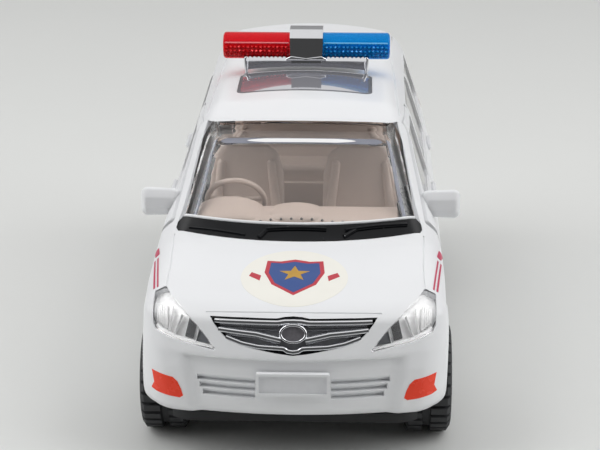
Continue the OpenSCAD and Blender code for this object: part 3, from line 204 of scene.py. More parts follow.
# Beads along the lenses: a pale colour that is a painted highlight, where the joint catches the light
red_highlight_bead = surface("red styrene with painted highlight", "E88A90", 2.0, 0.05, (0.05, 0.1))
blue_highlight_bead = surface("blue styrene with painted highlight", "7CC4EE", 2.0, 0.05, (0.05, 0.1))
# Tail lamps: a deeper red that is half see-through
tail_styrene = surface("ruby polystyrene", "C0141C", 5.0, 0.04, (0.08, 0.14), "E08080",
                       **{"Transmission Weight": 0.5, "IOR": 1.5})
# Printed and painted marks: thin, satin, slightly uneven
orange_paint = surface("orange spray paint", "F03C1A", 1.6, 0.09, (0.2, 0.34))
crimson_print = surface("crimson pad print", "C2405F", 1.4, 0.1, (0.3, 0.42))
# Sticker: off-white vinyl with a satin face, and inks that are a little uneven
vinyl_white = surface("off-white vinyl sticker", "EEECE4", 3.0, 0.015, (0.3, 0.4))
vinyl_blue = surface("blue sticker ink", "2C4C8C", 1.2, 0.06, (0.3, 0.4))
vinyl_gold = surface("gold sticker ink", "C79A3E", 0.8, 0.1, (0.25, 0.4), Metallic=0.35)
vinyl_red = surface("red sticker ink", "BC3040", 1.2, 0.06, (0.3, 0.4))
# Cabin: matt beige moulding
beige_abs = surface("beige ABS", "C2AEA3", 3.0, 0.05, (0.42, 0.55))
# Vent dots: small dark points on the beige
dark_abs = surface("charcoal ABS", "5C5754", 2.0, 0.08, (0.4, 0.5))
# Plate panels: a flat pale grey in a white frame
plate_abs = surface("grey plate print", "DCDDE0", 1.5, 0.06, (0.3, 0.45))
# Running gear: matt rubber and black plastic against fine silver paint
tyre_rubber = surface("tyre rubber", "343537", 1.0, 0.2, (0.55, 0.75))
rim_paint = surface("silver rim paint", "C3C5C8", 0.6, 0.06, (0.25, 0.36), Metallic=0.85)
black_pp = surface("black polypropylene", "1C1D1F", 0.8, 0.2, (0.45, 0.6))
# Drive and small parts: bright metal, waxy pale gears, and a grey that also serves for seals and for the
# headlamps' painted dark reflection
steel = surface("bright steel", "B9BABC", 1.0, 0.08, (0.2, 0.35), Metallic=1.0)
brass = surface("turned brass", "C9A24B", 0.8, 0.08, (0.2, 0.35), Metallic=1.0)
nylon = surface("natural nylon", "E6E1D2", 1.5, 0.04, (0.4, 0.5), **{"Subsurface Weight": 0.15})
motor_abs = surface("grey motor ABS", "6A6C70", 1.2, 0.06, (0.4, 0.55))
print("materials:", len(bpy.data.materials))

# %% [markdown]
# ## Solids
#
# Every piece below is a closed solid in millimetres, made on a bench collection. Solids are cut,
# joined and kept inside each other there, as cores and cavities shape a moulding.

# %% Bench, solids and cuts
bench = bpy.data.collections.new("bench")
scene.collection.children.link(bench)


def on_bench(form):
    """A mesh under construction, finished as an object on the bench."""
    mesh = bpy.data.meshes.new("solid")
    form.to_mesh(mesh)
    form.free()
    thing = bpy.data.objects.new("solid", mesh)
    bench.objects.link(thing)
    return thing


def solid(points, faces, turn_out=True):
    """A solid from its points and faces, with the faces turned outwards if asked."""
    draft = bpy.data.meshes.new("draft")
    draft.from_pydata(np.asarray(points, float).tolist(), [], [[int(k) for k in face] for face in faces])
    form = bmesh.new()
    form.from_mesh(draft)
    bpy.data.meshes.remove(draft)
    if turn_out:
        bmesh.ops.recalc_face_normals(form, faces=form.faces)
    return on_bench(form)


def settle(thing):
    """The thing with its modifiers turned into plain mesh."""
    bpy.context.view_layer.update()
    made = bpy.data.meshes.new_from_object(thing.evaluated_get(bpy.context.evaluated_depsgraph_get()))
    thing.modifiers.clear()
    thing.data = made
    return thing


def clone(thing, mirror=False):
    """A copy on the bench, mirrored across the middle of the car if asked."""
    twin = thing.copy()
    twin.data = thing.data.copy()
    bench.objects.link(twin)
    if mirror:
        twin.data.transform(Matrix.Scale(-1, 4, (1, 0, 0)))
        twin.data.flip_normals()
    return twin


def boolean(thing, operation, *tools):
    """The thing cut by, joined with or kept inside the tools, one after the other."""
    for tool in tools:
        step = thing.modifiers.new("step", "BOOLEAN")
        step.operation = operation
        step.solver = "MANIFOLD"
        step.object = tool
    return settle(thing)


def together(*things):
    """Several solids as one object, left as they are."""
    form = bmesh.new()
    for thing in things:
        form.from_mesh(thing.data)
    return on_bench(form)


print("bench:", bench.name)

# %% [markdown]
# ## Forms
#
# A mould maker thinks in a few forms: an outline pushed straight through, a tight skin over rounded
# corners, a profile run along a path and a profile spun round an axis. Each is one function here.

# %% Outlines, balls and tight skins
# The signs of two ends or two sides
both = (-1, 1)


def prism(axis, outline, low, high):
    """A solid with an outline: across the car on (y, z), along it on (x, z) or upright on (x, y)."""
    place = {
        "across": lambda p, h: (h, p[0], p[1]), "along": lambda p, h: (p[0], h, p[1]),
        "upright": lambda p, h: (p[0], p[1], h)}[axis]
    count = len(outline)
    points = [place(p, h) for h in (low, high) for p in outline]
    walls = [(k, (k + 1) % count, count + (k + 1) % count, count + k) for k in range(count)]
    return solid(points, [range(count), range(count, 2 * count)] + walls)


def rounded(corners, radius, steps=32):
    """The outline round equal discs at the corners."""
    turns = np.arange(steps) * 2 * math.pi / steps
    rim = [(x + radius * math.cos(a), y + radius * math.sin(a)) for x, y in corners for a in turns]
    return [rim[k] for k in geometry.convex_hull_2d(rim)]


def ball(centre, radius, steps=12):
    """Points of a ball; a radius of three values makes it an ellipsoid."""
    turns = np.linspace(0, 2 * math.pi, 2 * steps, endpoint=False)
    rises = np.linspace(-math.pi / 2, math.pi / 2, steps + 1)
    turn, rise = [grid.ravel() for grid in np.meshgrid(turns, rises)]
    unit = np.stack([np.cos(turn) * np.cos(rise), np.sin(turn) * np.cos(rise), np.sin(rise)], 1)
    return np.asarray(centre) + unit * np.asarray(radius)


def hull(*clouds):
    """The tight skin round clouds of points."""
    form = bmesh.new()
    for point in np.concatenate(clouds):
        form.verts.new(point)
    bmesh.ops.remove_doubles(form, verts=form.verts, dist=1e-4)
    made = bmesh.ops.convex_hull(form, input=form.verts)
    spare = [v for v in made["geom_interior"] + made["geom_unused"] if isinstance(v, bmesh.types.BMVert)]
    bmesh.ops.delete(form, geom=list(set(spare)), context="VERTS")
    return on_bench(form)


print("points of a ball:", len(ball((0, 0, 0), 1)))

# %% Rings, sweeps and spun forms
def grid_solid(rings, closed=False):
    """A solid from rings of points, one after the other, with end caps unless the run is closed."""
    rings = np.asarray(rings, float)
    rows, columns = rings.shape[:2]
    index = np.arange(rows * columns).reshape(rows, columns)
    faces = []
    for i in range(rows if closed else rows - 1):
        here, there = index[i], index[(i + 1) % rows]
        faces += [(here[j], here[(j + 1) % columns], there[(j + 1) % columns], there[j])
                  for j in range(columns)]
    caps = [] if closed else [index[0], index[-1]]
    return solid(rings.reshape(-1, 3), faces + caps)


def sweep(path, ups, profile, closed=False):
    """A profile, given across and up, run along a path."""
    path, profile = np.asarray(path, float), np.asarray(profile, float)
    ups = np.broadcast_to(np.asarray(ups, float), path.shape)
    ahead = np.roll(path, -1, 0) - np.roll(path, 1, 0) if closed else np.gradient(path, axis=0)
    side = np.cross(ahead, ups)
    side /= np.linalg.norm(side, axis=1, keepdims=True)
    up = np.cross(side, ahead)
    up /= np.linalg.norm(up, axis=1, keepdims=True)
    rings = path[:, None] + side[:, None] * profile[None, :, :1] + up[:, None] * profile[None, :, 1:]
    return grid_solid(rings, closed)


def disc(radius, steps=8):
    """A round profile."""
    turns = np.arange(steps) * 2 * math.pi / steps
    return np.stack([np.cos(turns), np.sin(turns)], 1) * radius


def dome(width, height, foot=0.3, steps=8):
    """A half-round profile on a short foot."""
    turns = np.linspace(0, math.pi, steps)
    crest = np.stack([np.cos(turns) * width / 2, np.sin(turns) * height], 1)
    return np.concatenate([crest, [[-width / 2, -foot], [width / 2, -foot]]])


def spun(profile, steps=96):
    """A solid of revolution round the X axis from (x, radius) points of a closed profile."""
    turns = np.arange(steps) * 2 * math.pi / steps
    return grid_solid([[(x, r * math.cos(a), r * math.sin(a)) for x, r in profile] for a in turns], True)


def box(low, high):
    """A plain block between two corners."""
    return prism("upright", [(low[0], low[1]), (high[0], low[1]), (high[0], high[1]), (low[0], high[1])],
                 low[2], high[2])


def pair(thing):
    """A solid and its mirror image as one object."""
    return together(thing, clone(thing, mirror=True))


def shifted(thing, x=0.0, y=0.0, z=0.0):
    """The thing moved to another place."""
    thing.data.transform(Matrix.Translation((x, y, z)))
    return thing


print("profile points:", len(disc(1)), "in a disc,", len(dome(1, 1)), "in a dome")

# %% [markdown]
# ## Finishing a piece
#
# On the toy a moulding is dressed once it is out of the mould, and then fitted. Here it is scaled to
# metres, smoothed, given its material and set on the body that it moves with. Pieces that come in pairs
# are made for the left of the car, and the right one is its mirror image.

# %% Dress a piece and its mirror image
def piece(thing, name, material, body="body", nodes=(), slot=None, sharp=35):
    """A finished piece of the toy: in metres, smooth but for sharp edges, dressed and on its body."""
    thing.data.transform(Matrix.Scale(MM, 4))
    if not any(thing.data.materials):
        thing.data.materials.clear()
        thing.data.materials.append(material)
    thing.data.shade_smooth()
    thing.data.set_sharp_from_angle(angle=math.radians(sharp))
    weigh = thing.modifiers.new("weigh", "WEIGHTED_NORMAL")
    weigh.keep_sharp = True
    settle(thing)
    thing.name = thing.data.name = name
    bench.objects.unlink(thing)
    scene.collection.objects.link(thing)
    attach(thing, body)
    if nodes:
        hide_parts(*nodes)
    print("%s: %d faces" % (name, len(thing.data.polygons)))
    return thing


def both_sides(thing, name, material, body="body", node=None, slot=None):
    """A piece on the left of the car and its mirror image on the right; {} stands for the side."""
    for side in ("left", "right"):
        nodes = [node.format(side)] if node else []
        piece(clone(thing, side == "right"), name.format(side), material, body.format(side), nodes, slot)


# %% [markdown]
# ## The skin of the body
#
# The designer's surface, in the same terms as the CAD source: a rounded box whose top follows the
# bonnet, windscreen and roof, whose sides follow the flank and the cabin, and whose ends bow and
# lean. The tables below hold its curves, as shares of the few sizes that drive the car.

# %% Driving sizes and curves of the body
half_length, half_width = 62.6, 24.8
roof_height, sill_height, waist_height = 48.6, 7.8, 31.6
half_height = (roof_height - sill_height) / 2
cabin_height = roof_height - waist_height
flank_height = waist_height - sill_height
shell_wall = 1.2
lip_height, cowl_height, screen_height = 26.4, 30.8, 46.4
front_y = -half_length
cowl_y = front_y + 25.4
screen_y = cowl_y + 20.4
wheel_radius = 9.2
front_axle_y, rear_axle_y = front_y + 20.1, half_length - 28.7
corner_across, corner_along, roof_round, sill_round = 4.5, 6.0, 4.5, 6.0
nose_bow, nose_lean, nose_reach = 5.2, 3.0, 24.0
tail_bow, tail_lean, tail_reach = 3.0, 5.0, 22.0
bumper_height = 8.7
crease, waist_crease = 1.3, 0.7
roof_front_y = screen_y + 0.3 * half_length
flank_shares = [[0, 0.955], [0.16, 0.985], [0.5, 1], [0.8, 0.988], [0.955, 0.95]]
cabin_shares = [[0.03, 0.922], [0.8, 0.752], [1, 0.7]]
plan_shares = [[-1, 0.985], [-0.7, 1], [0.6, 1], [1, 0.968]]
nose_lean_shares = [[-1, 0.12], [-0.6, 0], [0, 0.03], [0.3, 0.2], [0.9, 0.85], [1, 1]]
tail_lean_shares = [[-1, 0.1], [-0.5, 0], [-0.1, 0.02], [0.25, 0.14], [0.9, 0.9], [1, 1]]


def mix(a, b, t):
    """The value at a share t of the way from a to b."""
    return a + (b - a) * t


top_table = [
    [front_y, lip_height], [mix(front_y, cowl_y, 0.5), mix(lip_height, cowl_height, 0.57)],
    [cowl_y, cowl_height], [screen_y, screen_height],
    [mix(screen_y, roof_front_y, 0.42), mix(screen_height, roof_height, 0.7)],
    [roof_front_y, roof_height], [0.7 * half_length, roof_height], [half_length, roof_height - 0.9]]
crown_table = [[cowl_y, 0.8], [screen_y, 0.8], [roof_front_y, 1.8]]
sweep_table = [[screen_y, 4.2], [roof_front_y, 0]]
bottom_table = [
    [front_y, bumper_height], [front_axle_y, sill_height], [rear_axle_y, sill_height],
    [half_length, bumper_height]]
side_table = [[sill_height + s * flank_height, w * half_width] for s, w in flank_shares] + [
    [waist_height + s * cabin_height, w * half_width] for s, w in cabin_shares]


def table_at(values, table):
    """A table's value, straight between its rows."""
    return np.interp(values, *np.array(table).T)


def eased(values, table, span):
    """A table's value with its corners rounded over a short span."""
    steps = ((-1, 1), (-0.5, 2), (0, 2), (0.5, 2), (1, 1))
    return sum(weight * table_at(values + step * span, table) for step, weight in steps) / 8


def side_width(y, z):
    """Half the car's width at a place on its flank."""
    return eased(z, side_table, waist_crease) * table_at(y / half_length, plan_shares)


def ramp(values, start, end):
    """From 0 at the start to 1 at the end, with soft ends."""
    t = np.clip((values - start) / (end - start), 0, 1)
    return t * t * (3 - 2 * t)


print("top of the body:", [[round(float(v), 1) for v in row] for row in top_table])

# %% [markdown]
# ## Relief and skin
#
# The mould also has shallow steps that the CAD part leaves out: the recessed middle of the bumper, the
# lips of the wheel arches and a rubbing strip. They are pushed into the skin where it lies flat. The
# skin itself is a unit cube, sampled more finely near its edges and bent to the tables above.

# %% Shallow steps in the skin
recess_depth, recess_top, recess_edge, recess_soft = 0.85, 19.8, 16.0, 1.2
recess_flare, recess_foot = 0.15, 11.0
tail_step_depth, tail_step_top, step_soft = 0.25, 18.8, 0.6
nose_run, tail_run, flank_run = (-53, -57), (54, 58), (20, 22)
arch_radius, lip_stand, lip_width, lip_soft = 10.7, 0.4, 1.5, 0.4
strip_low, strip_high, strip_stand, strip_ends = 16.6, 19.6, 0.35, (-28.2, 19.6)


def band(values, low, high, soft):
    """1 between two values and 0 beyond them, with soft ends."""
    return ramp(values, low - soft, low + soft) * ramp(values, high + soft, high - soft)


def relief(points):
    """The shallow steps that the skin carries, in its own flat places."""
    x, y, z = points.T
    across = np.abs(x)
    middle = ramp(across - recess_flare * (z - recess_foot), recess_edge + recess_soft,
                  recess_edge - recess_soft)
    points[:, 1] += recess_depth * ramp(y, *nose_run) * middle * ramp(z, recess_top, recess_top - step_soft)
    points[:, 1] += tail_step_depth * ramp(y, *tail_run) * ramp(z, tail_step_top, tail_step_top - step_soft)
    flank = ramp(across, *flank_run)
    stand = np.zeros(len(points))
    lip_reach = arch_radius + lip_width
    for axle_y in (front_axle_y, rear_axle_y):
        reach = np.hypot(y - axle_y, z - wheel_radius)
        stand = np.maximum(stand, lip_stand * ramp(reach, lip_reach + lip_soft, lip_reach - lip_soft))
    strip = band(z, strip_low, strip_high, 0.2) * band(y, *strip_ends, 0.4)
    points[:, 0] += np.sign(x) * flank * np.maximum(stand, strip_stand * strip)
    return points


print("bumper recess: %.2f mm deep, rubbing strip: %.2f mm proud" % (recess_depth, strip_stand))

# %% The skin from a unit cube
def skin_points(u, inset):
    """Points of the body's skin from points on a unit cube, at a depth below the outer skin."""
    rounds = np.array([corner_across / half_width, corner_along / half_length, sill_round / half_height])
    rounds = rounds * np.ones_like(u)
    rounds[u[:, 2] > 0, 2] = roof_round / half_height
    core = np.clip(u, rounds - 1, 1 - rounds)
    off = (u - core) / rounds
    v = core + rounds * off / np.linalg.norm(off, axis=1, keepdims=True)
    nose = np.clip(1 - (v[:, 1] + 1) * half_length / nose_reach, 0, 1) ** 2
    tail = np.clip(1 - (1 - v[:, 1]) * half_length / tail_reach, 0, 1) ** 2
    y = v[:, 1] * (half_length - inset)
    y = y + nose * (nose_bow * v[:, 0] ** 2 + nose_lean * table_at(v[:, 2], nose_lean_shares))
    y = y - tail * (tail_bow * v[:, 0] ** 2 + tail_lean * table_at(v[:, 2], tail_lean_shares))
    low = table_at(y, bottom_table) + inset
    top = eased(y - table_at(y, sweep_table) * v[:, 0] ** 2, top_table, crease)
    high = top - table_at(y, crown_table) * v[:, 0] ** 2 - inset
    z = mix(low, high, (v[:, 2] + 1) / 2)
    return relief(np.stack([v[:, 0] * (side_width(y, z) - inset), y, z], 1))


def spread(count, pull):
    """Shares from -1 to 1, closer together near the ends."""
    t = np.linspace(-1, 1, count)
    return np.round(t + pull * np.sin(np.pi * t) / np.pi, 9)


def unit_cube(shares):
    """Points on the faces of a cube at the given shares, and the quads between them."""
    points, quads = [], []
    for fixed in range(3):
        first, second = [k for k in range(3) if k != fixed]
        for side in both:
            grid = np.empty((len(shares[first]), len(shares[second]), 3))
            grid[..., fixed] = side
            grid[..., first] = shares[first][:, None]
            grid[..., second] = shares[second][None, :]
            index = np.arange(grid.size // 3).reshape(grid.shape[:2]) + sum(len(p) for p in points)
            quad = np.stack([index[:-1, :-1], index[1:, :-1], index[1:, 1:], index[:-1, 1:]], -1)
            quad = quad.reshape(-1, 4)
            quads.append(quad if side * (-1 if fixed == 1 else 1) > 0 else quad[:, ::-1])
            points.append(grid.reshape(-1, 3))
    points, where = np.unique(np.concatenate(points), axis=0, return_inverse=True)
    return points, where.ravel()[np.concatenate(quads)]


fine_cube = unit_cube([spread(73, 0.5), spread(181, 0.35), spread(81, 0.3)])
coarse_cube = unit_cube([spread(33, 0.5), spread(81, 0.35), spread(35, 0.3)])
skins = {}


def skin(inset, cube=fine_cube):
    """The closed solid inside one skin of the body, made once."""
    key = (inset, len(cube[0]))
    if key not in skins:
        skins[key] = solid(skin_points(cube[0], inset), cube[1], turn_out=False)
    return skins[key]


def slab(outer, inner, *prisms):
    """What lies between two skins of the body and inside the prisms."""
    part = boolean(clone(skin(outer)), "INTERSECT", *prisms)
    return boolean(part, "DIFFERENCE", skin(inner))


print("skin:", len(fine_cube[0]), "points,", len(fine_cube[1]), "quads")

# %% [markdown]
# ## Drawing on the skin
#
# A toy maker engraves lines and lays trim on a finished surface, from a drawing in one view. Here a ray
# along that view finds the place on the skin for each point of the drawing, and the way it faces.

# %% Rays onto the skin
outer_skin = BVHTree.FromPolygons(skin_points(fine_cube[0], 0).tolist(), fine_cube[1].tolist())
far = 90.0
looks = {
    "front": lambda a, b: ((a, -far, b), (0, 1, 0)), "back": lambda a, b: ((a, far, b), (0, -1, 0)),
    "top": lambda a, b: ((a, b, far), (0, 0, -1)), "left": lambda a, b: ((far, a, b), (-1, 0, 0))}


def on_skin(look, pairs, lift=0.0):
    """Places on the outer skin seen along one look, lifted off it, and the ways they face."""
    hits = [outer_skin.ray_cast(*looks[look](*pair)) for pair in pairs]
    ups = np.array([hit[1] for hit in hits])
    return np.array([hit[0] for hit in hits]) + lift * ups, ups


def traced(corners, step=0.6):
    """Points at even steps along the straight runs between corners."""
    corners = np.asarray(corners, float)
    gaps = np.linalg.norm(np.diff(corners, axis=0), axis=1)
    along = np.concatenate([[0], np.cumsum(gaps)])
    marks = np.linspace(0, along[-1], max(2, int(along[-1] / step) + 1))
    return np.stack([np.interp(marks, along, corners[:, k]) for k in range(corners.shape[1])], 1)


def arc(middle, end, bend, count=24):
    """Points of a curve over the middle of the car: from -end to end, bending by bend."""
    t = np.linspace(-1, 1, count)
    return [(k * end, middle + bend * k * k) for k in t]


print("roof over the middle: %.2f mm" % on_skin("top", [(0, 0)])[0][0][2])

# %% [markdown]
# ## Outlines of the openings
#
# Windows, doors, lamps, grille, roof pane, plates and cowl each have an outline in one view: front, side
# or top. The same outline cuts the body and shapes the piece that fills the hole, so that both always
# fit. Straight runs are corners with a radius; the windscreen and the cowl follow curves.

# %% Outlines of the doors
fit = 0.15
window_round, door_round, pane_round = 1.2, 0.8, 1.6
door_gap, door_front_gap, door_frame = 0.35, 0.9, 1.3
door_front_y, door_rear_y, door_floor = front_y + 33.4, front_y + 63.8, 10.4
door_top = waist_height + 0.76 * cabin_height
pillar_slope = (screen_y - cowl_y) / (screen_height - cowl_height)
door_peak_y = cowl_y + 7.8 + (door_top - cowl_height) * pillar_slope


def whole(half):
    """An outline from its left half and the mirror image; a point on the middle line isn't doubled."""
    return list(half) + [(-x, h) for x, h in reversed(half) if x > 0]


def cabin(shares):
    """Corners given by their place and by their share of the cabin's height."""
    return [(a, waist_height + s * cabin_height) for a, s in shares]


def door_edge(z):
    """Where the door's front edge runs beside the windscreen."""
    return mix(door_front_y, door_peak_y, (z - waist_height) / (door_top - waist_height))


def door_outline(grow, front_grow):
    """The front door seen from the side, grown all round and, by another amount, in front."""
    inset, front = door_round - grow, door_round - front_grow
    return rounded([
        (door_front_y + front, door_floor + inset), (door_front_y + front, waist_height),
        (door_peak_y + front, door_top - inset), (door_rear_y - inset, door_top - inset),
        (door_rear_y - inset, door_floor + inset)], door_round)


def door_window(inset):
    """The window of the front door, drawn in by an inset."""
    edge = door_frame + window_round + inset
    low, high = waist_height + edge / 2, door_top - edge
    return rounded([
        (door_edge(low) + edge, low + inset), (door_edge(high) + edge, high), (door_rear_y - edge, high),
        (door_rear_y - edge, low + inset)], window_round)


print("front door: %.1f mm long, %.1f mm tall" % (door_rear_y - door_front_y, door_top - door_floor))

# %% Outlines of glass, lamps, grille and cowl
screen_sides = [(31.6, 20.95), (32.6, 20.55), (34.4, 19.9), (37.6, 19.0), (41.4, 18.1), (45.3, 16.8)]
screen_head, screen_droop, screen_corner = 46.3, 1.0, 16.8


def screen_half_width(z):
    """Half the width of the windscreen's opening at a height."""
    return table_at(z, screen_sides)


def screen_top(x):
    """The height of the opening's upper edge, which droops towards the pillars."""
    return screen_head - screen_droop * (x / screen_corner) ** 2


screen_half = [(w, z) for z, w in screen_sides] + [(x, screen_top(x)) for x in np.linspace(15.8, 0.8, 9)]
screen_outline = whole(screen_half)
tail_window_corners = whole(cabin([(13.9, 0.7), (16.4, 0.14)]))
rear_window_corners = cabin([(3.75, 0.08), (3.75, 0.68), (24.5, 0.67), (26.5, 0.1)])
quarter_corners = cabin([(30.3, 0.11), (29.1, 0.66), (46.1, 0.62), (51.3, 0.15)])
tail_lamp_corners = cabin([(17.9, -0.34), (18.4, 0.36), (21, 0.5), (24.8, 0.5), (24.8, -0.34)])
headlamp_corners = [
    (12.6, 20.85), (15.45, 24.0), (17.6, 25.75), (18.7, 26.5), (21.0, 27.35), (22.5, 26.7), (22.5, 25.2),
    (22.4, 23.5), (22.0, 22.7), (20.7, 22.3), (19.05, 21.8), (16.1, 21.35)]
grille_outline = whole([
    (0, 26.1), (1.4, 26.02), (2.6, 25.82), (7.5, 25.78), (13.3, 25.62), (12.5, 24.5), (11.4, 23.3),
    (10.2, 22.25), (8.0, 21.6), (5.5, 21.15), (2.8, 20.7), (0, 20.38)])
pane_half_width, pane_front_y, pane_rear_y = 12.4, -3.0, 10.6
plate_half_width, plate_floor, plate_height = 5.8, 13.9, 3.8
cowl_tip = 20.6
cowl_end = [(20.95, -31.8), (20.75, -30.9)]
cowl_outline = (arc(-37.3, cowl_tip, 4.8) + cowl_end + arc(-34.5, cowl_tip - 0.7, 4.2)[::-1]
                + [(-x, y) for x, y in reversed(cowl_end)])


def pane_outline(inset):
    """The roof pane seen from above, drawn in by an inset."""
    return rounded([(x * (pane_half_width - pane_round), y) for x in both
                    for y in (pane_front_y + pane_round, pane_rear_y - pane_round)], pane_round - inset)


print("windscreen opening:", len(screen_outline), "points, grille:", len(grille_outline))

# %% [markdown]
# ## The white body
#
# On the toy this is one ABS moulding with sliding cores for the windows, doors and lamps. Here each
# opening is a core too: an outline pushed through the wall. The outer skin loses its inner skin and then
# each core in turn, as the mould's cores would take them out.

# %% Shell with its openings
past_nose, past_tail, past_side, past_roof = -64, 64, 26, 50
screen_reach, tail_window_y = (-36, -11.6), 44
side_window_x, door_cut_x, arch_x, arch_past = 14, 12, 16.6, 40
lamp_back_y, tail_lamp_front_y, grille_back_y, pane_cut_z = -50.1, 52.6, -56, 45.5
lamp_round, tail_lamp_round = 0.25, 0.5
plate_beds, plate_bed_depth = (-63.1, 61.9), 1.2
cowl_floor, cowl_ceiling, cowl_bed_depth = 20, 46, 0.6
base_half_width, base_half_length = 19.1, 54.5


def arch(axle_y):
    """The round core that opens one wheel arch."""
    rim = [(axle_y + p[0], wheel_radius + p[1]) for p in disc(arch_radius, 96)]
    return prism("across", rim, arch_x, arch_past)


def plate_bed(y):
    """The bed of a number plate, a little wider than the plate."""
    return box((-plate_half_width - fit, y, plate_floor - fit),
               (plate_half_width + fit, y + plate_bed_depth, plate_floor + plate_height + fit))


cowl_prism = prism("upright", cowl_outline, cowl_floor, cowl_ceiling)
openings = [
    together(prism("along", screen_outline, *screen_reach),
             prism("along", rounded(tail_window_corners, window_round), tail_window_y, past_tail)),
    pair(together(prism("across", rounded(rear_window_corners, window_round), side_window_x, past_side),
                  prism("across", rounded(quarter_corners, window_round), side_window_x, past_side))),
    pair(prism("across", door_outline(door_gap, door_front_gap), door_cut_x, past_side)),
    pair(together(prism("along", rounded(headlamp_corners, lamp_round), past_nose, lamp_back_y),
                  prism("along", rounded(tail_lamp_corners, tail_lamp_round), tail_lamp_front_y,
                        past_tail))),
    pair(together(*[arch(y) for y in (front_axle_y, rear_axle_y)])),
    together(prism("along", grille_outline, past_nose, grille_back_y),
             prism("upright", pane_outline(0), pane_cut_z, past_roof), *[plate_bed(y) for y in plate_beds]),
    box((-base_half_width, -base_half_length, -1), (base_half_width, base_half_length, bumper_height + 1)),
    boolean(clone(skin(-1)), "INTERSECT", cowl_prism)]
boolean(openings[-1], "DIFFERENCE", skin(cowl_bed_depth))
shell = boolean(clone(skin(0)), "DIFFERENCE", skin(shell_wall, coarse_cube), *openings)
print("shell with its openings:", len(shell.data.polygons), "faces")

# %% [markdown]
# ## Panel lines, louvres and handles
#
# The mould maker engraves the panel lines with a fine ball cutter, and the bumper's intake with a wedge
# that leaves three louvres. Both are profiles run along the skin and cut out of the shell. The handles
# of the rear doors are bars that stand a little off the flank, moulded with it.

# %% Engrave and finish the shell
groove, ditch = disc(0.15), disc(0.3)
hood_side = [(21.2, -32.8), (20.85, -44), (20.95, -50.4)]
hood_front = arc(-58.75, 14.0, 1.2)
roof_ditch = [(17.1, -10.0), (16.2, 26), (15.8, 50)]
rear_door_edge = [(27.2, 44.6), (28.4, 31.6), (30.2, 21.9)]
rear_door_floor = [(2.2, 10.6), (21.0, 10.6)]
tailgate_edge = [(-16.6, 46.2), (-17.4, 19.4), (17.4, 19.4), (16.6, 46.2)]
fuel_flap = rounded([(44.6, 24.6), (48.6, 24.6), (48.6, 28.0), (44.6, 28.0)], 0.8, 16)


def drawn_line(look, corners, profile=groove, step=0.6, lift=0.0):
    """A profile run along the skin, from corners in one view: a groove to cut or a rib to add."""
    return sweep(*on_skin(look, traced(corners, step), lift), profile)


panel_lines = [
    pair(drawn_line("top", hood_side)), drawn_line("top", hood_front),
    pair(drawn_line("top", roof_ditch, ditch)), pair(drawn_line("left", rear_door_edge)),
    pair(drawn_line("left", rear_door_floor)), drawn_line("back", tailgate_edge),
    sweep(*on_skin("left", fuel_flap), groove, closed=True)]
louvre_profile = [(-0.6, 0.3), (0.45, 0.3), (0.45, -0.9), (0.3, -0.9), (-0.6, -0.04)]
louvre_start, louvre_ends = 6.05, ((15.4, 15.75), (15.0, 14.55), (14.5, 13.35))
louvres = [drawn_line("front", [(louvre_start, z), (x, z)], louvre_profile) for x, z in louvre_ends]
handle_z, handle_length, handle_stand, handle_radii = 30.2, 5.2, 0.25, (0.5, 0.7, 0.75)
rear_handle_y, front_handle_back = 23.8, 8.6


def handle(y):
    """A door handle: a rounded bar that stands a little off the flank."""
    ends = [(side_width(np.array(e), np.array(handle_z)) + handle_stand, e, handle_z)
            for e in (y, y + handle_length)]
    return hull(*[ball(end, handle_radii) for end in ends])


boolean(shell, "UNION", pair(handle(rear_handle_y)))
boolean(shell, "DIFFERENCE", *panel_lines, pair(together(*louvres)))
piece(shell, "body_moulding", white_abs, nodes=["body_shell"], slot="body_white")

# %% [markdown]
# ## Front doors
#
# Two more ABS mouldings, cut from the same skin with an even gap, each with a window, a handle, hinge
# lugs at its front edge and an arm rest inside. They ride on their own bodies and swing out.

# %% Doors and their panes
hinge = (23.6, -28.5, 21.0)
well_low, well_high, well_half_height = (22.4, -29.6), (26, -27.5), 1.7
door_inner_x, door_pane_depths, pane_fit = 9, (0.4, 1.2), 0.12
rest_z, rest_margin, rest_radii = waist_height - 8, 6, (1.1, 0.9, 0.9)
lug_rise, lug_radius, lug_line = 2.3, 0.5, ((0, 0.3), (-0.54, 1.2))
door = boolean(clone(skin(0)), "INTERSECT", prism("across", door_outline(0, 0), door_inner_x, past_side))
boolean(door, "DIFFERENCE", skin(shell_wall, coarse_cube),
        prism("across", door_window(0), door_inner_x, past_side))
boolean(door, "UNION", handle(door_rear_y - front_handle_back))
boolean(door, "DIFFERENCE", box((*well_low, hinge[2] - well_half_height),
                                (*well_high, hinge[2] + well_half_height)))
rest_ends = [(side_width(np.array(y), np.array(rest_z)) - shell_wall, y, rest_z)
             for y in (door_front_y + rest_margin, door_rear_y - rest_margin)]
arm_rest = hull(*[ball(end, rest_radii) for end in rest_ends])
lugs = [hull(*[ball((hinge[0] + x, hinge[1] + y, hinge[2] + side * lug_rise), lug_radius)
               for x, y in lug_line]) for side in both]
boolean(door, "UNION", arm_rest, *lugs)
both_sides(door, "front_door_{}_moulding", white_abs, "door_{}", "front_door_{}", "body_white")
door_pane = slab(*door_pane_depths, prism("across", door_window(pane_fit), door_inner_x, past_side))
both_sides(door_pane, "door_glass_{}", clear_styrene, "door_{}", "door_pane_{}", "clear_plastic")

# %% [markdown]
# ## Windows
#
# One clear moulding hangs under the roof and steps out into each opening. The windscreen shows how it
# is made: a border that lies under the frame, then a sloping edge up to a raised panel. It is built as
# a sheet over the front view, set back from the skin by a depth that changes over the edge.

# %% Windscreen sheet and panes
screen_low, screen_margin = 31.5, 0.5
border_depth, panel_depth, glass_wall = 1.3, 0.35, 0.8
bevel_start, bevel_end, head_rate = 1.5, 2.5, 0.91
edge_steps = np.array([0, 0.8, 1.5, 1.9, 2.0, 2.2, 2.5, 2.8, 3.0, 3.3, 3.8])


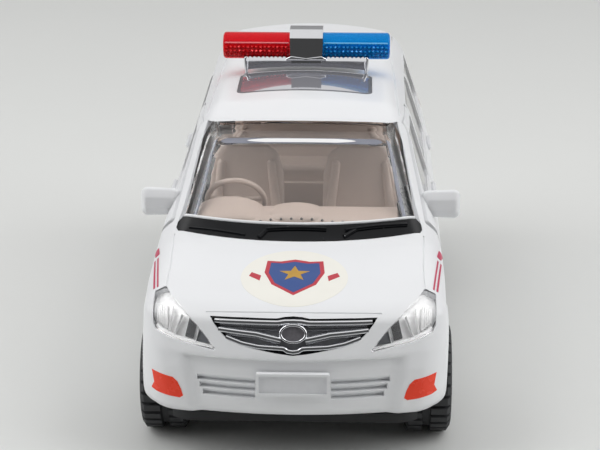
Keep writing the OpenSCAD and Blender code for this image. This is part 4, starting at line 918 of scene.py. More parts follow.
def screen_sheet():
    """Rows of places on the skin in the windscreen, with the depth at which the glass lies there."""
    rises = np.concatenate([np.linspace(0, 0.72, 24)[:-1], 1 - edge_steps[::-1] / 15])
    across = np.concatenate([edge_steps / 20, np.linspace(0.25, 1, 18)]) - 1
    across = np.concatenate([across, -across[-2::-1]])
    places, depths = [], []
    for rise in rises:
        middle = mix(screen_low, screen_head + screen_margin, rise)
        half = screen_half_width(middle) + screen_margin
        x = across * half
        tops = screen_top(x) + screen_margin
        z = mix(screen_low, tops, rise)
        inside = np.minimum(half - np.abs(x), (tops - z) * head_rate) - screen_margin
        depths.append(mix(border_depth, panel_depth, ramp(inside, bevel_start, bevel_end)))
        places.append(np.stack([x, z], 1))
    return np.array(places), np.array(depths)


sheet_places, sheet_depths = screen_sheet()
sheet, sheet_ups = [found.reshape(sheet_places.shape[:2] + (3,))
                    for found in on_skin("front", sheet_places.reshape(-1, 2))]
# The ways that the sheet faces are evened out, so that the glass has no ripples
for turn in range(3):
    sheet_ups[1:-1, 1:-1] = (sheet_ups[1:-1, 1:-1] * 2 + sheet_ups[:-2, 1:-1] + sheet_ups[2:, 1:-1]
                             + sheet_ups[1:-1, :-2] + sheet_ups[1:-1, 2:]) / 6
face = sheet - sheet_ups * sheet_depths[..., None]
rear = face - sheet_ups * glass_wall
windscreen = grid_solid(np.concatenate([face, rear[:, ::-1]], 1))
pane_depths, side_pane_x = (0.4, 1.3), 12
panes = []
for corners in (rear_window_corners, quarter_corners):
    opening = prism("across", rounded(corners, window_round - pane_fit), side_pane_x, past_side)
    panes.append(pair(slab(*pane_depths, opening)))
tail_pane = prism("along", rounded(tail_window_corners, window_round - pane_fit), tail_window_y, past_tail)
panes.append(slab(*pane_depths, tail_pane))
piece(together(windscreen, *panes), "window_moulding", clear_styrene, nodes=["window_glazing"],
      slot="clear_plastic", sharp=22)

# %% [markdown]
# ## Windscreen edges
#
# On the toy the sloping edge of the glass belongs to the window moulding, and it shines because the mould
# is polished there. Clear plastic alone hardly shows it, so the slope gets thin films with the shine
# painted
# into them: a pale one along the sides and the top, a painted reflection of the sky, and over it a white
# one, a painted highlight that runs out to points along the top.

# %% Films on the sloping edge
def bevel_film(outer, inner, shares=(0, 1), stand=0.05):
    """A film of painted light on the glass's sloping edge, between a line near its foot and a line near its
    top.
    """
    points, ups = on_skin("front", np.concatenate([outer, inner]))
    share = np.concatenate([np.broadcast_to(s, len(outer)) for s in shares])
    sunk = mix(border_depth, panel_depth, share)[:, None]
    rows = [(points - ups * (sunk + depth)).reshape(2, len(outer), 3) for depth in (-stand, 0.1)]
    return grid_solid(np.stack([rows[0][0], rows[0][1], rows[1][1], rows[1][0]], 1))


def head_film(half, trim=0.0, fade=1.0, stand=0.05):
    """A film of painted light on the upper edge, trimmed on both sides and running out to a point over the
    fade.
    """
    x = np.linspace(-half, half, 60)
    narrow = 0.5 - (0.5 - trim) * np.sqrt(np.clip((half - np.abs(x)) / fade, 0.01, 1))
    shares = (narrow, 1 - narrow)
    edges = [np.stack([x, screen_top(x) - mix(bevel_start, bevel_end, share) / head_rate], 1)
             for share in shares]
    return bevel_film(*edges, shares, stand)


film_low, film_high = screen_low + 0.6, screen_head - 2.9
film_half, glint_half, glint_trim, glint_fade, glint_stand = 14.4, 9.6, 0.14, 3.2, 0.1
film_rises = np.linspace(film_low, film_high, 30)
side_film = bevel_film(*[np.stack([screen_half_width(film_rises) - bevel, film_rises], 1)
                         for bevel in (bevel_start, bevel_end)])
# The pale films along the sides and the top are a painted reflection of the sky
piece(together(pair(side_film), head_film(film_half)), "windscreen_bevels", painted_reflection_styrene)
# The white film along the top is a painted highlight
piece(head_film(glint_half, glint_trim, glint_fade, glint_stand), "windscreen_head_bevel", painted_highlight_styrene)

# %% [markdown]
# ## Roof pane
#
# A smoked pane in a grey seal, moulded apart and pressed into the roof. It lies flush in front and swells
# a little towards the rear, so that it mirrors the light bar behind it. It is built as a sheet over the
# top view, lifted off the skin by that swell and cut to its rounded outline.

# %% Pane and seal
pane_swell = [[pane_front_y, -0.1], [5.6, 0.72], [8.4, 0.68], [pane_rear_y, 0.1]]
pane_wall, pane_floor, seal_width, seal_fit, seal_depth = 1.6, 40, 0.7, 0.08, 1.0


def pane_row(y, count=16):
    """One row of the pane across the car: along its upper side and back along its lower side."""
    across = np.linspace(-pane_half_width, pane_half_width, count)
    places = on_skin("top", np.stack([across, np.full(count, y)], 1))[0]
    upper = places + [[0, 0, float(table_at(np.array(y), pane_swell))]]
    return np.concatenate([upper, (upper - [[0, 0, pane_wall]])[::-1]])


pane_prism = prism("upright", pane_outline(seal_width), pane_floor, past_roof)
pane_rows = [pane_row(y) for y in np.linspace(pane_front_y, pane_rear_y, 35)]
roof_pane = boolean(grid_solid(pane_rows), "INTERSECT", pane_prism)
pane_seal = slab(0.0, seal_depth, prism("upright", pane_outline(seal_fit), pane_floor, past_roof))
boolean(pane_seal, "DIFFERENCE", pane_prism)
piece(roof_pane, "roof_pane_glazing", smoked_styrene, nodes=["roof_pane"], slot="smoked_plastic")
piece(pane_seal, "roof_pane_seal", motor_abs)

# %% [markdown]
# ## Cowl and wipers
#
# A gloss black strip between the bonnet and the glass, with the wipers moulded on it: cheap for the
# maker, and it hides the joint. The strip is a slice of the skin; each wiper is an arm and a blade. A
# white edge closes the foot of the glass.

# %% Strip, wipers and lower edge
cowl_stand, cowl_depth = 0.1, 0.5
arm, blade, nozzle_rail = dome(0.9, 0.55), dome(0.85, 0.6), dome(0.7, 0.35)
cowl = slab(-cowl_stand, cowl_depth, cowl_prism)
wiper_runs = [
    ([(-6.6, -36.3), (-5.2, -34.95)], arm), ([(-5.5, -35.05), (4.7, -35.0)], blade),
    ([(7.7, -35.9), (10.0, -34.2)], arm), ([(7.9, -34.9), (9.9, -34.35), (18.3, -31.9)], blade),
    ([(-18.6, -32.6), (-9.0, -35.6)], nozzle_rail)]
wipers = [drawn_line("top", run, profile) for run, profile in wiper_runs]
piece(together(cowl, *wipers), "cowl_and_wipers", black_abs, nodes=["cowl_panel"], slot="cowl_black")
lower_edge = drawn_line("top", arc(-34.25, 19.6, 4.1), dome(0.6, 0.3))
piece(lower_edge, "windscreen_lower_edge", white_abs)

# %% [markdown]
# ## Door mirrors
#
# Each mirror is a domed white housing with a plated face towards the seats. They are moulded apart and
# pressed into the doors, so they ride with them. The dome is a tight skin over rounded corners, cut off
# flat where the face goes.

# %% Housings and faces
mirror_z, mirror_y = waist_height + 2.15, -24.6
mirror_inner, mirror_outer, mirror_half = 20.9, 27.7, 2.55
rim_radii, crown_radii, crown_share = (1.1, 0.75, 1.1), (0.8, 0.7, 0.8), 0.55
rim_shift, crown_shift, housing_back, face_wall, face_round = 0.2, -0.25, 0.72, (0.6, 0.8), 0.75
half_corners = [(mirror_inner + 1.2, mirror_half - 1.3), (mirror_outer - 1.1, mirror_half - 1.1)]
mirror_corners = [(x, side * h) for x, h in half_corners for side in both]
rim_balls = [ball((x, mirror_y + rim_shift, mirror_z + h), rim_radii) for x, h in mirror_corners]
crown_balls = [ball((x, mirror_y + crown_shift, mirror_z + h * crown_share), crown_radii)
               for x, h in mirror_corners]
housing = hull(*rim_balls, *crown_balls)
boolean(housing, "DIFFERENCE", box((mirror_inner - 2, mirror_y + housing_back, mirror_z - 4),
                                   (mirror_outer + 2, mirror_y + 3, mirror_z + 4)))
face_outline = rounded([(x, mirror_z + h) for x, h in mirror_corners], face_round)
mirror_face = prism("along", face_outline, *[mirror_y + wall for wall in face_wall])
both_sides(housing, "mirror_housing_{}", white_abs, "door_{}", "door_mirror_{}", "body_white")
both_sides(mirror_face, "mirror_face_{}", chrome, "door_{}")

# %% [markdown]
# ## Grille
#
# A plated insert clipped behind the nose: a backing made less bright by painted shade, a black lip round
# the opening, bright bars with finer lines between them that follow the curve of the nose, and an oval
# badge with no sign on it. Every bar is a half-round rib run along a path in the front view.

# %% Backing, lip and bars
def drawn_in(outline, width):
    """An outline moved inwards by a width."""
    points = np.asarray(outline, float)
    ahead = np.roll(points, -1, 0) - np.roll(points, 1, 0)
    ways = np.stack([-ahead[:, 1], ahead[:, 0]], 1) / np.linalg.norm(ahead, axis=1, keepdims=True)
    area = np.sum(points[:, 0] * np.roll(points[:, 1], -1) - points[:, 1] * np.roll(points[:, 0], -1))
    return points + ways * width * math.copysign(1, area)


def nose_prism(outline, low=past_nose, high=-48):
    """An outline in the front view, pushed through the nose."""
    return prism("along", [tuple(p) for p in outline], low, high)


def nose_rib(path, width, height, lift, foot=0.5):
    """A half-round rib along a path in the front view, at a lift off the skin."""
    return drawn_line("front", path, dome(width, height, foot), fine_step, lift)


def nose_bar(half, *sizes):
    """A rib across the nose through a half path and its mirror image."""
    return nose_rib([(-x, z) for x, z in reversed(half) if x > 0] + half, *sizes)


fine_step = 0.4
backing_depths, backing_fit = (1.1, 2.0), 0.1
black_lip_depths, black_lip_fit, black_lip_inner = (0.1, 1.6), 0.05, 0.27
# Width, height and lift of each kind of bar
outer_sizes, middle_sizes = (0.95, 0.55, -0.5), (1.0, 0.6, -0.5)
lower_sizes, upper_sizes = (0.4, 0.35, -0.7), (0.34, 0.3, -1.0)
# The backing is darker than the bars by painted shade
backing = slab(*backing_depths, nose_prism(drawn_in(grille_outline, backing_fit)))
piece(backing, "grille_back_panel", shaded_chrome, nodes=["grille_backing"], slot="grille_black")
lip = slab(*black_lip_depths, nose_prism(drawn_in(grille_outline, black_lip_fit)))
boolean(lip, "DIFFERENCE", nose_prism(drawn_in(grille_outline, black_lip_inner)))
piece(lip, "grille_black_lip", black_abs)
top_bar = [(0, 25.6), (1.3, 25.55), (2.6, 25.36), (7, 25.3), (12.5, 25.15)]
middle_bar = [(1.9, 22.75), (5.9, 23.5), (11.9, 23.85)]
lower_line = [(2.1, 22.2), (5.9, 23.02), (10.9, 23.2)]
low_bar = [(0, 20.95), (0.8, 21.05), (1.5, 21.45), (2.4, 21.5), (5.5, 21.6), (8.2, 22.0), (10.7, 22.75)]
upper_lines = [[(2.3, 24.75), (12.1, 24.55)], [(2.4, 24.2), (11.9, 24.2)]]
bars = [nose_bar(top_bar, *outer_sizes), nose_bar(low_bar, *outer_sizes),
        pair(nose_rib(middle_bar, *middle_sizes)), pair(nose_rib(lower_line, *lower_sizes))]
bars += [pair(nose_rib(line, *upper_sizes)) for line in upper_lines]
piece(together(*bars), "grille_chrome_bars", chrome, nodes=["grille_bars"], slot="chrome_plate")

# %% Badge
badge_z, badge_half_width, badge_half_height = 23.7, 2.2, 1.5
# Badge face: a mottled grey, as worn plating looks
badge_grey = surface("mottled grey ABS", "77757A", 0.5, 0.35, (0.3, 0.5), Metallic=0.3)


def oval(grow, steps=48):
    """The badge's outline in the front view, grown all round."""
    turns = np.arange(steps) * 2 * math.pi / steps
    return np.stack([(badge_half_width + grow) * np.cos(turns),
                     badge_z + (badge_half_height + grow) * np.sin(turns)], 1)


ring_inset, ring_sink, disc_inset, disc_depths = 0.2, 0.25, 0.3, (0.35, 1.5)
badge_ring = sweep(*on_skin("front", oval(-ring_inset), -ring_sink), dome(0.5, 0.3, 0.8), closed=True)
piece(badge_ring, "badge_ring", chrome, nodes=["grille_badge"], slot="chrome_plate")
piece(slab(*disc_depths, nose_prism(oval(-disc_inset))), "badge_disc", badge_grey)

# %% [markdown]
# ## Headlamps
#
# A clear cover over a bowl. The bowl is one moulding, plated on the toy, but here nearly matt white: a
# painted reflection of the sky in place of the plating. It has a smooth sheet, reeds at the outer side,
# three fins, and a fold along its lower edge. Beside a mirrored strip a grey panel closes the inner point:
# a painted dark reflection.

# %% Covers, bowls and blanks
cover_depths, bowl_depths, strip_depths, dark_reflection_depths = (0.0, 0.6), (1.2, 1.9), (0.95, 1.3), (0.75, 1.3)
cover_round, dark_reflection_round, strip_back_y, dark_reflection_back_y = 0.12, 0.15, -51, -52
lamp_prism = nose_prism(rounded(headlamp_corners, cover_round), past_nose, lamp_back_y)
strip_corners = [(16.0, 21.75), (17.1, 21.95), (16.5, 24.4), (15.5, 23.8)]
mirror_strip = slab(*strip_depths, nose_prism(rounded(strip_corners, dark_reflection_round), past_nose, strip_back_y))
# The grey panel at the inner point is a painted dark reflection: matt grey where the plated bowl mirrors
# dark surroundings
dark_reflection_corners = [(15.5, 21.55), (13.2, 21.5), (14.75, 23.2)]
dark_reflection_panel = slab(*dark_reflection_depths, nose_prism(rounded(dark_reflection_corners, dark_reflection_round), past_nose, dark_reflection_back_y))
lamp_edge = [(22.35, 23.2), (21.9, 22.75), (20.7, 22.4), (19.05, 21.9), (16.1, 21.45), (12.9, 20.95)]
fin_runs = [([(15.75, 21.6), (15.2, 23.6)], 0.22), ([(19.3, 22.2), (18.0, 25.6)], 0.2),
            ([(20.3, 22.6), (19.5, 26.4)], 0.2)]
reed_places, reed_low, reed_high, reed_lean = (20.9, 21.25, 21.6, 21.95, 22.25), 23.0, 26.6, 0.1
# Width, height, lift and foot of each kind of rib
rib_foot = 0.3
fold_sizes, reed_sizes = (0.75, 0.3, -0.95, rib_foot), (0.3, 0.4, -1.15, rib_foot)
fin_sizes = (0.45, -1.1, rib_foot)


def reed(k, x):
    """A reed of the bowl; each one further out is a little shorter."""
    return nose_rib([(x, reed_low + 0.2 * k), (x - reed_lean, reed_high - 0.15 * k)], *reed_sizes)


fold = nose_rib(lamp_edge, *fold_sizes)
fins = [nose_rib(run, width, *fin_sizes) for run, width in fin_runs]
reeds = [reed(k, x) for k, x in enumerate(reed_places)]
bowl = together(slab(*bowl_depths, lamp_prism), fold, *fins, *reeds)
both_sides(slab(*cover_depths, lamp_prism), "headlamp_cover_{}", lamp_styrene, node="headlamp_lens_{}",
           slot="clear_plastic")
both_sides(bowl, "headlamp_bowl_{}", painted_sky_bowl, node="headlamp_reflector_{}", slot="chrome_plate")
both_sides(dark_reflection_panel, "headlamp_blank_{}", motor_abs)
both_sides(mirror_strip, "headlamp_mirror_{}", chrome)

# %% [markdown]
# ## Tail lamps and number plates
#
# The tail lamps are ruby lenses with horizontal flutes over a nearly matt white bowl, with the plating's
# reflection of the sky painted into it. The plates are grey inserts in a white frame that stands a little
# off the bumper, with nothing printed on them.

# %% Tail lamps
tail_lens_round, tail_lens_depths, tail_bowl_depths = 0.38, (0.0, 0.8), (1.0, 1.6)
flute_start, flute_margin, flute_y = 18.6, 0.8, np.array(56.0)
flute_low, flute_high, flute_pitch, flute_radius = 26.8, 39.2, 1.3, 0.22
tail_prism = prism("along", rounded(tail_lamp_corners, tail_lens_round), tail_lamp_front_y, past_tail)
tail_lens = slab(*tail_lens_depths, tail_prism)


def flute(z):
    """A groove across the tail lens at a height, up to a margin from the flank."""
    run = [(flute_start, z), (float(side_width(flute_y, z)) - flute_margin, z)]
    return drawn_line("back", run, disc(flute_radius), fine_step, 0.05)


flutes = [flute(z) for z in np.arange(flute_low, flute_high, flute_pitch)]
boolean(tail_lens, "DIFFERENCE", together(*flutes))
both_sides(tail_lens, "tail_lens_{}", tail_styrene, node="tail_lamp_{}", slot="tail_red")
both_sides(slab(*tail_bowl_depths, tail_prism), "tail_bowl_{}", painted_sky_bowl)

# %% Number plates
plate_rim, frame_round, frame_reach, panel_reach = 0.42, 0.25, (62.0, 62.93), (61.95, 62.62)


def plate_box(ends):
    """The space inside the plate's frame, between two places along the car."""
    return box((-plate_half_width + plate_rim, ends[0], plate_floor + plate_rim),
               (plate_half_width - plate_rim, ends[1], plate_floor + plate_height - plate_rim))


for end, sign in (("front", -1), ("rear", 1)):
    frame_corners = [(side * (plate_half_width - frame_round), z) for side in both
                     for z in (plate_floor + frame_round, plate_floor + plate_height - frame_round)]
    surround = prism("along", rounded(frame_corners, frame_round), *sorted(sign * y for y in frame_reach))
    boolean(surround, "DIFFERENCE", plate_box((past_nose, past_tail)))
    piece(surround, end + "_plate_frame", white_abs, nodes=[end + "_plate"], slot="plate_grey")
    piece(plate_box(sorted(sign * y for y in panel_reach)), end + "_plate_panel", plate_abs)

# %% [markdown]
# ## Repeats
#
# A mould repeats small forms exactly, in rings and in rows. Two small node trees make such copies: one
# sets them round an axle, the other in rows on a flat bed. Both end as plain mesh with their material.

# %% Node trees for rings and rows
def repeat_tree(name, sockets, build):
    """A node tree with named inputs, from sockets (name, kind); build wires it and returns the copies."""
    tree = bpy.data.node_groups.new(name, "GeometryNodeTree")
    for label, kind in sockets:
        tree.interface.new_socket(label, in_out="INPUT", socket_type=kind)
    tree.interface.new_socket("Geometry", in_out="OUTPUT", socket_type="NodeSocketGeometry")
    given = add(tree, "NodeGroupInput").outputs
    copies = build(tree, given)
    real = add(tree, "GeometryNodeRealizeInstances", {"Geometry": copies})
    dressed = add(tree, "GeometryNodeSetMaterial", {
        "Geometry": real.outputs[0], "Material": given["Material"]})
    add(tree, "NodeGroupOutput", {"Geometry": dressed.outputs[0]})
    return tree


def ring_copies(tree, given):
    """Copies of an object round the X axis, each turned to face outwards."""
    circle = add(tree, "GeometryNodeMeshCircle", {"Vertices": given["Count"], "Radius": given["Radius"]})
    index = add(tree, "GeometryNodeInputIndex")
    share = add(tree, "ShaderNodeMath", {0: index.outputs[0], 1: given["Count"]}, operation="DIVIDE")
    angle = add(tree, "ShaderNodeMath", {0: share.outputs[0], 1: 2 * math.pi}, operation="MULTIPLY")
    turn = add(tree, "ShaderNodeCombineXYZ", {"Z": angle.outputs[0]})
    source = add(tree, "GeometryNodeObjectInfo", {"Object": given["Object"]})
    copies = add(tree, "GeometryNodeInstanceOnPoints", {
        "Points": circle.outputs["Mesh"], "Instance": source.outputs["Geometry"],
        "Rotation": turn.outputs["Vector"]})
    # The ring is made flat and then stood up round the X axis
    stood = add(tree, "GeometryNodeTransform", {
        "Geometry": copies.outputs["Instances"], "Rotation": (0, math.pi / 2, 0)})
    return stood.outputs["Geometry"]


def row_copies(tree, given):
    """Copies of an object in rows on a flat bed, each swayed a little."""
    grid = add(tree, "GeometryNodeMeshGrid", {
        "Size X": given["Length"], "Size Y": given["Width"], "Vertices X": given["Columns"],
        "Vertices Y": given["Rows"]})
    least, most = (-0.12, -0.12, 0), (0.12, 0.12, 0.5)
    sway = add(tree, "FunctionNodeRandomValue", {"Min": least, "Max": most, "Seed": 7},
               data_type="FLOAT_VECTOR")
    source = add(tree, "GeometryNodeObjectInfo", {"Object": given["Object"]})
    copies = add(tree, "GeometryNodeInstanceOnPoints", {
        "Points": grid.outputs["Mesh"], "Instance": source.outputs["Geometry"],
        "Rotation": sway.outputs[0]})
    return copies.outputs["Instances"]


shared = [("Object", "NodeSocketObject"), ("Material", "NodeSocketMaterial")]
ring_tree = repeat_tree("copies round an axle", shared + [
    ("Count", "NodeSocketInt"), ("Radius", "NodeSocketFloat")], ring_copies)
row_tree = repeat_tree("copies in rows", shared + [
    ("Length", "NodeSocketFloat"), ("Width", "NodeSocketFloat"), ("Columns", "NodeSocketInt"),
    ("Rows", "NodeSocketInt")], row_copies)


def repeated(tree, **values):
    """The plain mesh that a node tree makes from its inputs."""
    thing = on_bench(bmesh.new())
    made = thing.modifiers.new("repeat", "NODES")
    made.node_group = tree
    for item in tree.interface.items_tree:
        if item.in_out == "INPUT" and item.name in values:
            made[item.identifier] = values[item.name]
    return settle(thing)


print("repeats:", ring_tree.name, "and", row_tree.name)

# %% [markdown]
# ## Light bar
#
# A plated bridge on a long foot carries two dyed lenses. On the toy it is one moulding, plated all over,
# and its foot clips into the roof. Here the bridge, the foot, its skirts and its lip are joined and cut
# to the curve of the roof, and knobs and beads are added at the edges.

# %% Bridge on its foot
bar_y, bar_z, lens_radius = 12.0, 53.15, 2.5
bridge_half, bridge_depth, bridge_round = 3.1, 2.9, 0.5
bridge_section = [(-3.4, -2.6), (-2.7, 2.0), (-1.3, 3.4), (2.0, 3.4), (3.4, 2.0), (3.4, -2.6)]
bar_floor, bar_ceiling = 45, 60
foot_half, foot_top, foot_floor, foot_depth, foot_lift = 11.3, 51.2, 47.6, 2.1, 1.0
foot_end, foot_round = 0.6, 0.3
skirt_depth, skirt_radius, lip_depth, lip_round = 3.1, 0.3, 1.8, 0.5
knob_top, knob_foot = (-1.95, foot_top - 0.1, 0.5), (-1.9, 47.9, 0.28)
lip_section = [(-2.8, -0.5), (-2.8, -0.35), (-2.15, 0.3), (-1.5, 0.3), (-1.5, -0.5)]

bridge = prism("across", [(bar_y + y, bar_z + z) for y, z in bridge_section], -bridge_half, bridge_half)
bridge_corners = [(x * (bridge_half - bridge_round), bar_y + y * bridge_depth) for x in both for y in both]
bridge_plan = rounded(bridge_corners, bridge_round, 8)
boolean(bridge, "INTERSECT", prism("upright", bridge_plan, bar_floor, bar_ceiling))
foot_corners = [(side * (foot_half - foot_end), z) for side in both
                for z in (foot_top - foot_round, foot_floor)]
foot_body = prism("along", rounded(foot_corners, foot_round), bar_y - foot_depth, bar_y + foot_depth)
skirt_line = [(bridge_half - 0.3, bar_z - 1.6), (bridge_half + 0.5, foot_top), (0, foot_top)]
skirts = [hull(*[ball((side * x, bar_y + y * skirt_depth, z), skirt_radius) for y in both
                 for x, z in skirt_line]) for side in both]
lip_corners = [(x * foot_half, bar_y + y * lip_depth) for x in both for y in both]
foot_lip = prism("upright", rounded(lip_corners, lip_round), foot_top - 0.35, foot_top + 0.12)
knobs = [hull(*[ball((side * foot_half, bar_y + y, z), radius) for y, z, radius in (knob_top, knob_foot)])
         for side in both]
bar_frame = boolean(bridge, "UNION", foot_body, *skirts, foot_lip)
boolean(bar_frame, "DIFFERENCE", skin(-foot_lift))
lip_beads = []
for side in both:
    section = [(bar_y + side * y, foot_top + z) for y, z in lip_section]
    lip_beads.append(prism("across", section, -foot_half, foot_half))
boolean(bar_frame, "UNION", *knobs, *lip_beads)
piece(bar_frame, "light_bar_frame", chrome, nodes=["light_bar_bridge"], slot="chrome_plate", sharp=28)

# %% [markdown]
# ## Lenses
#
# Each dyed lens is a tube with a plain upper half and a bed of small prisms under its lower half, which
# break up the light; a bead runs along the joint, coloured pale as a painted highlight. The bed is laid out
# flat in rows and bent round the tube, as a pattern engraved in the mould would run.

# %% Tubes, beads and prisms
lens_length, least_radius = 12.6, 0.02
lens_profile = [(0, least_radius), (0, lens_radius), (lens_length - 0.6, lens_radius),
                (lens_length - 0.25, lens_radius - 0.1), (lens_length - 0.05, lens_radius - 0.4),
                (lens_length, lens_radius - 0.9), (lens_length, least_radius)]
bead_turn, bead_radius, bead_ends = math.radians(24), 0.13, (0.3, 12.1)
bed_length, bed_width, bed_columns, bed_rows = 11.2, 2.1, 15, 4
bed_depth, bed_turn = 0.32, math.radians(22)
prism_half_length, prism_half_width, prism_rise = 0.55, 0.5, 0.55
prism_seed = hull(np.array([(x * prism_half_length, y * prism_half_width, 0) for x in both for y in both]
                           + [(0, 0, prism_rise)]))


def wrapped(thing, radius):
    """Rows laid flat on (x, y), bent round the lens so that y runs down its front."""
    for vertex in thing.data.vertices:
        x, y, z = vertex.co
        turn, reach = y / radius, radius + z
        vertex.co = (x, -reach * math.cos(turn), reach * math.sin(turn))
    return thing


def fitted(part, mirror, name, material, nodes=(), slot=None):
    """A part of a lens set beside the bridge, on the left of the car or mirrored."""
    piece(clone(shifted(part, bridge_half, bar_y, bar_z), mirror), name, material, nodes=nodes, slot=slot)


for colour, lens_material, prism_material, highlight_material, mirror in (
        ("blue", blue_styrene, blue_prism, blue_highlight_bead, False),
        ("red", red_styrene, red_prism, red_highlight_bead, True)):
    name = "lens_" + colour
    tube = spun(lens_profile, 64)
    fitted(tube, mirror, name + "_tube", lens_material, ["light_bar_lens_" + colour], name)
    bead_y, bead_z = -lens_radius * math.cos(bead_turn), lens_radius * math.sin(bead_turn)
    bead = hull(*[ball((x, bead_y, bead_z), bead_radius) for x in bead_ends])
    fitted(bead, mirror, name + "_bead", highlight_material)
    bed = repeated(row_tree, Object=prism_seed, Material=prism_material, Length=bed_length, Width=bed_width,
                   Columns=bed_columns, Rows=bed_rows)
    wrapped(bed, lens_radius - bed_depth)
    bed.data.transform(Matrix.Translation((lens_length / 2, 0, 0)) @ Matrix.Rotation(bed_turn, 4, "X"))
    fitted(bed, mirror, name + "_prisms", prism_material)

# %% [markdown]
# ## Cabin
#
# One beige moulding carries the floor, a deck over the motor and the seats, since one tool is cheaper
# than many. Each seat is a rounded cushion, a back that leans and narrows, and two bolsters.

# %% Tub and seats
tub_half, tub_wall, tub_floor, tub_front, case_front = 18.6, 1.2, 7.65, -27.0, 12.4
tub_front_top, tub_side_height = 25.4, 4
deck_z, tub_rear = 24.8, 55.2
seat_x, seat_half, seat_ends, seat_cushion, seat_top = 10.4, 6.9, (-18.0, -6.0), 26.0, 39.5
bench_half, bench_fronts, bench_depth, bench_cushion = 15.0, (12.6, 33.9), 9, 4.2
back_line = [(1.2, 0, None), (1.3, 1.1, 6.5), (2.1, 1.7, 3.4), (3.9, 2.0, 1.2)]


def seat(x, half, front, back, floor, cushion, top):
    """A seat with a cushion, a back that leans and narrows, and bolsters at its sides."""
    base = hull(*[ball((x + side * (half - 1), y, z), 1.0) for side in both
                  for y in (front + 1, back - 1) for z in (floor + 0.6, cushion - 1)])
    # Each row of the line is a trim of the width, a lean and a drop from the top; the first is the foot
    rises = [cushion - 1 if drop is None else top - drop for _, _, drop in back_line]
    back_rest = hull(*[ball((x + side * (half - trim), back - 1.2 + lean, z), (1.2, 1.0, 1.2))
                       for side in both for (trim, lean, _), z in zip(back_line, rises)])
    bolsters = [hull(ball((x + side * (half - 1.3), back - 2.1, cushion), (0.9, 0.8, 0.9)),
                     ball((x + side * (half - 2.4), back - 0.7, top - 4.4), (0.8, 0.7, 0.9)))
                for side in both]
    return boolean(base, "UNION", back_rest, *bolsters)


tub = box((-tub_half, tub_front, tub_floor), (tub_half, case_front, tub_floor + tub_wall))
seats = [seat(side * seat_x, seat_half, *seat_ends, tub_floor + 0.5, seat_cushion, seat_top)
         for side in both]
benches = [seat(0, bench_half, y, y + bench_depth, deck_z + 0.2, deck_z + bench_cushion, seat_top)
           for y in bench_fronts]
walls = [box((-tub_half, tub_front, tub_floor + 0.3), (tub_half, tub_front + tub_wall, tub_front_top)),
         box((-tub_half, case_front - tub_wall, tub_floor + 0.3),
             (tub_half, case_front, deck_z + tub_wall)),
         box((-tub_half, case_front - tub_wall / 2, deck_z), (tub_half, tub_rear, deck_z + tub_wall))]
for low_x, high_x in ((-tub_half, -tub_half + tub_wall), (tub_half - tub_wall, tub_half)):
    walls.append(box((low_x, tub_front + 0.3, tub_floor + 0.4),
                     (high_x, case_front - 0.3, tub_floor + tub_side_height)))
boolean(tub, "UNION", *walls, *seats, *benches)
piece(tub, "interior_moulding", beige_abs, nodes=["interior_tub"], slot="interior_beige")

# %% [markdown]
# ## Dashboard
#
# A second beige moulding right behind the windscreen, with a hump over the dials and one in the middle.
# It is a section pushed across the car with the humps laid on. Dark dots along its top stand for vents.

# %% Dashboard moulding
dash_section = [(-31.8, 25.6), (-31.8, 31.6), (-29.5, 32.6), (-26.5, 33.2), (-24.8, 33.0), (-24.1, 32.2),
                (-24.2, 30.8), (-25.6, 29.6), (-25.8, 25.6)]
dash_half = 16.7
hump_rows = [(-12.0, 6.2, 2.9), (-0.6, 5.2, 1.9)]
hump_z, hump_front, hump_back = 32.0, -28.4, -25.6
dash = prism("across", dash_section, -dash_half, dash_half)
dash_humps = [hull(ball((x, hump_front, hump_z), (half, 2.6, 1.6)),
                   ball((x, hump_back, hump_z), (half, 1.4, rise))) for x, half, rise in hump_rows]
boolean(dash, "UNION", *dash_humps)
piece(dash, "dashboard_moulding", beige_abs, nodes=["dashboard"], slot="interior_beige")

# %% Vent dots
vent_y, vent_z, vent_rise, vent_radius = -30.7, 32.15, 0.5, 0.24
vent_first, vent_last, vent_count = -6.6, 7.4, 9
hump_x, hump_half = hump_rows[1][:2]


def vent_dot(x):
    """A vent dot on the dashboard's top, which swells over the middle hump."""
    swell = math.sqrt(max(0, 1 - ((x - hump_x) / hump_half) ** 2))
    return hull(ball((x, vent_y, vent_z + vent_rise * swell), vent_radius))


vents = [vent_dot(x) for x in np.linspace(vent_first, vent_last, vent_count)]
piece(together(*vents), "dash_vent_dots", dark_abs)

# %% [markdown]
# ## Steering wheel
#
# A rim, a hub, three spokes and a column, moulded in one piece in the colour of the cabin. The rim is a
# round profile run along a circle that leans towards the seat.

# %% Rim, hub, spokes and column
wheel_centre, wheel_lean, steering_radius = np.array([-11.4, -20.8, 32.6]), math.radians(62), 5.0
steering_thickness, spoke_turns = 0.5, (0.15, math.pi - 0.15, -math.pi / 2)
wheel_up = np.array([0, -math.cos(wheel_lean), math.sin(wheel_lean)])
wheel_axis = np.array([0, math.sin(wheel_lean), math.cos(wheel_lean)])


def on_rim(turn, radius):
    """A place in the plane of the steering wheel."""
    return wheel_centre + radius * (math.cos(turn) * np.array([1, 0, 0]) + math.sin(turn) * wheel_up)


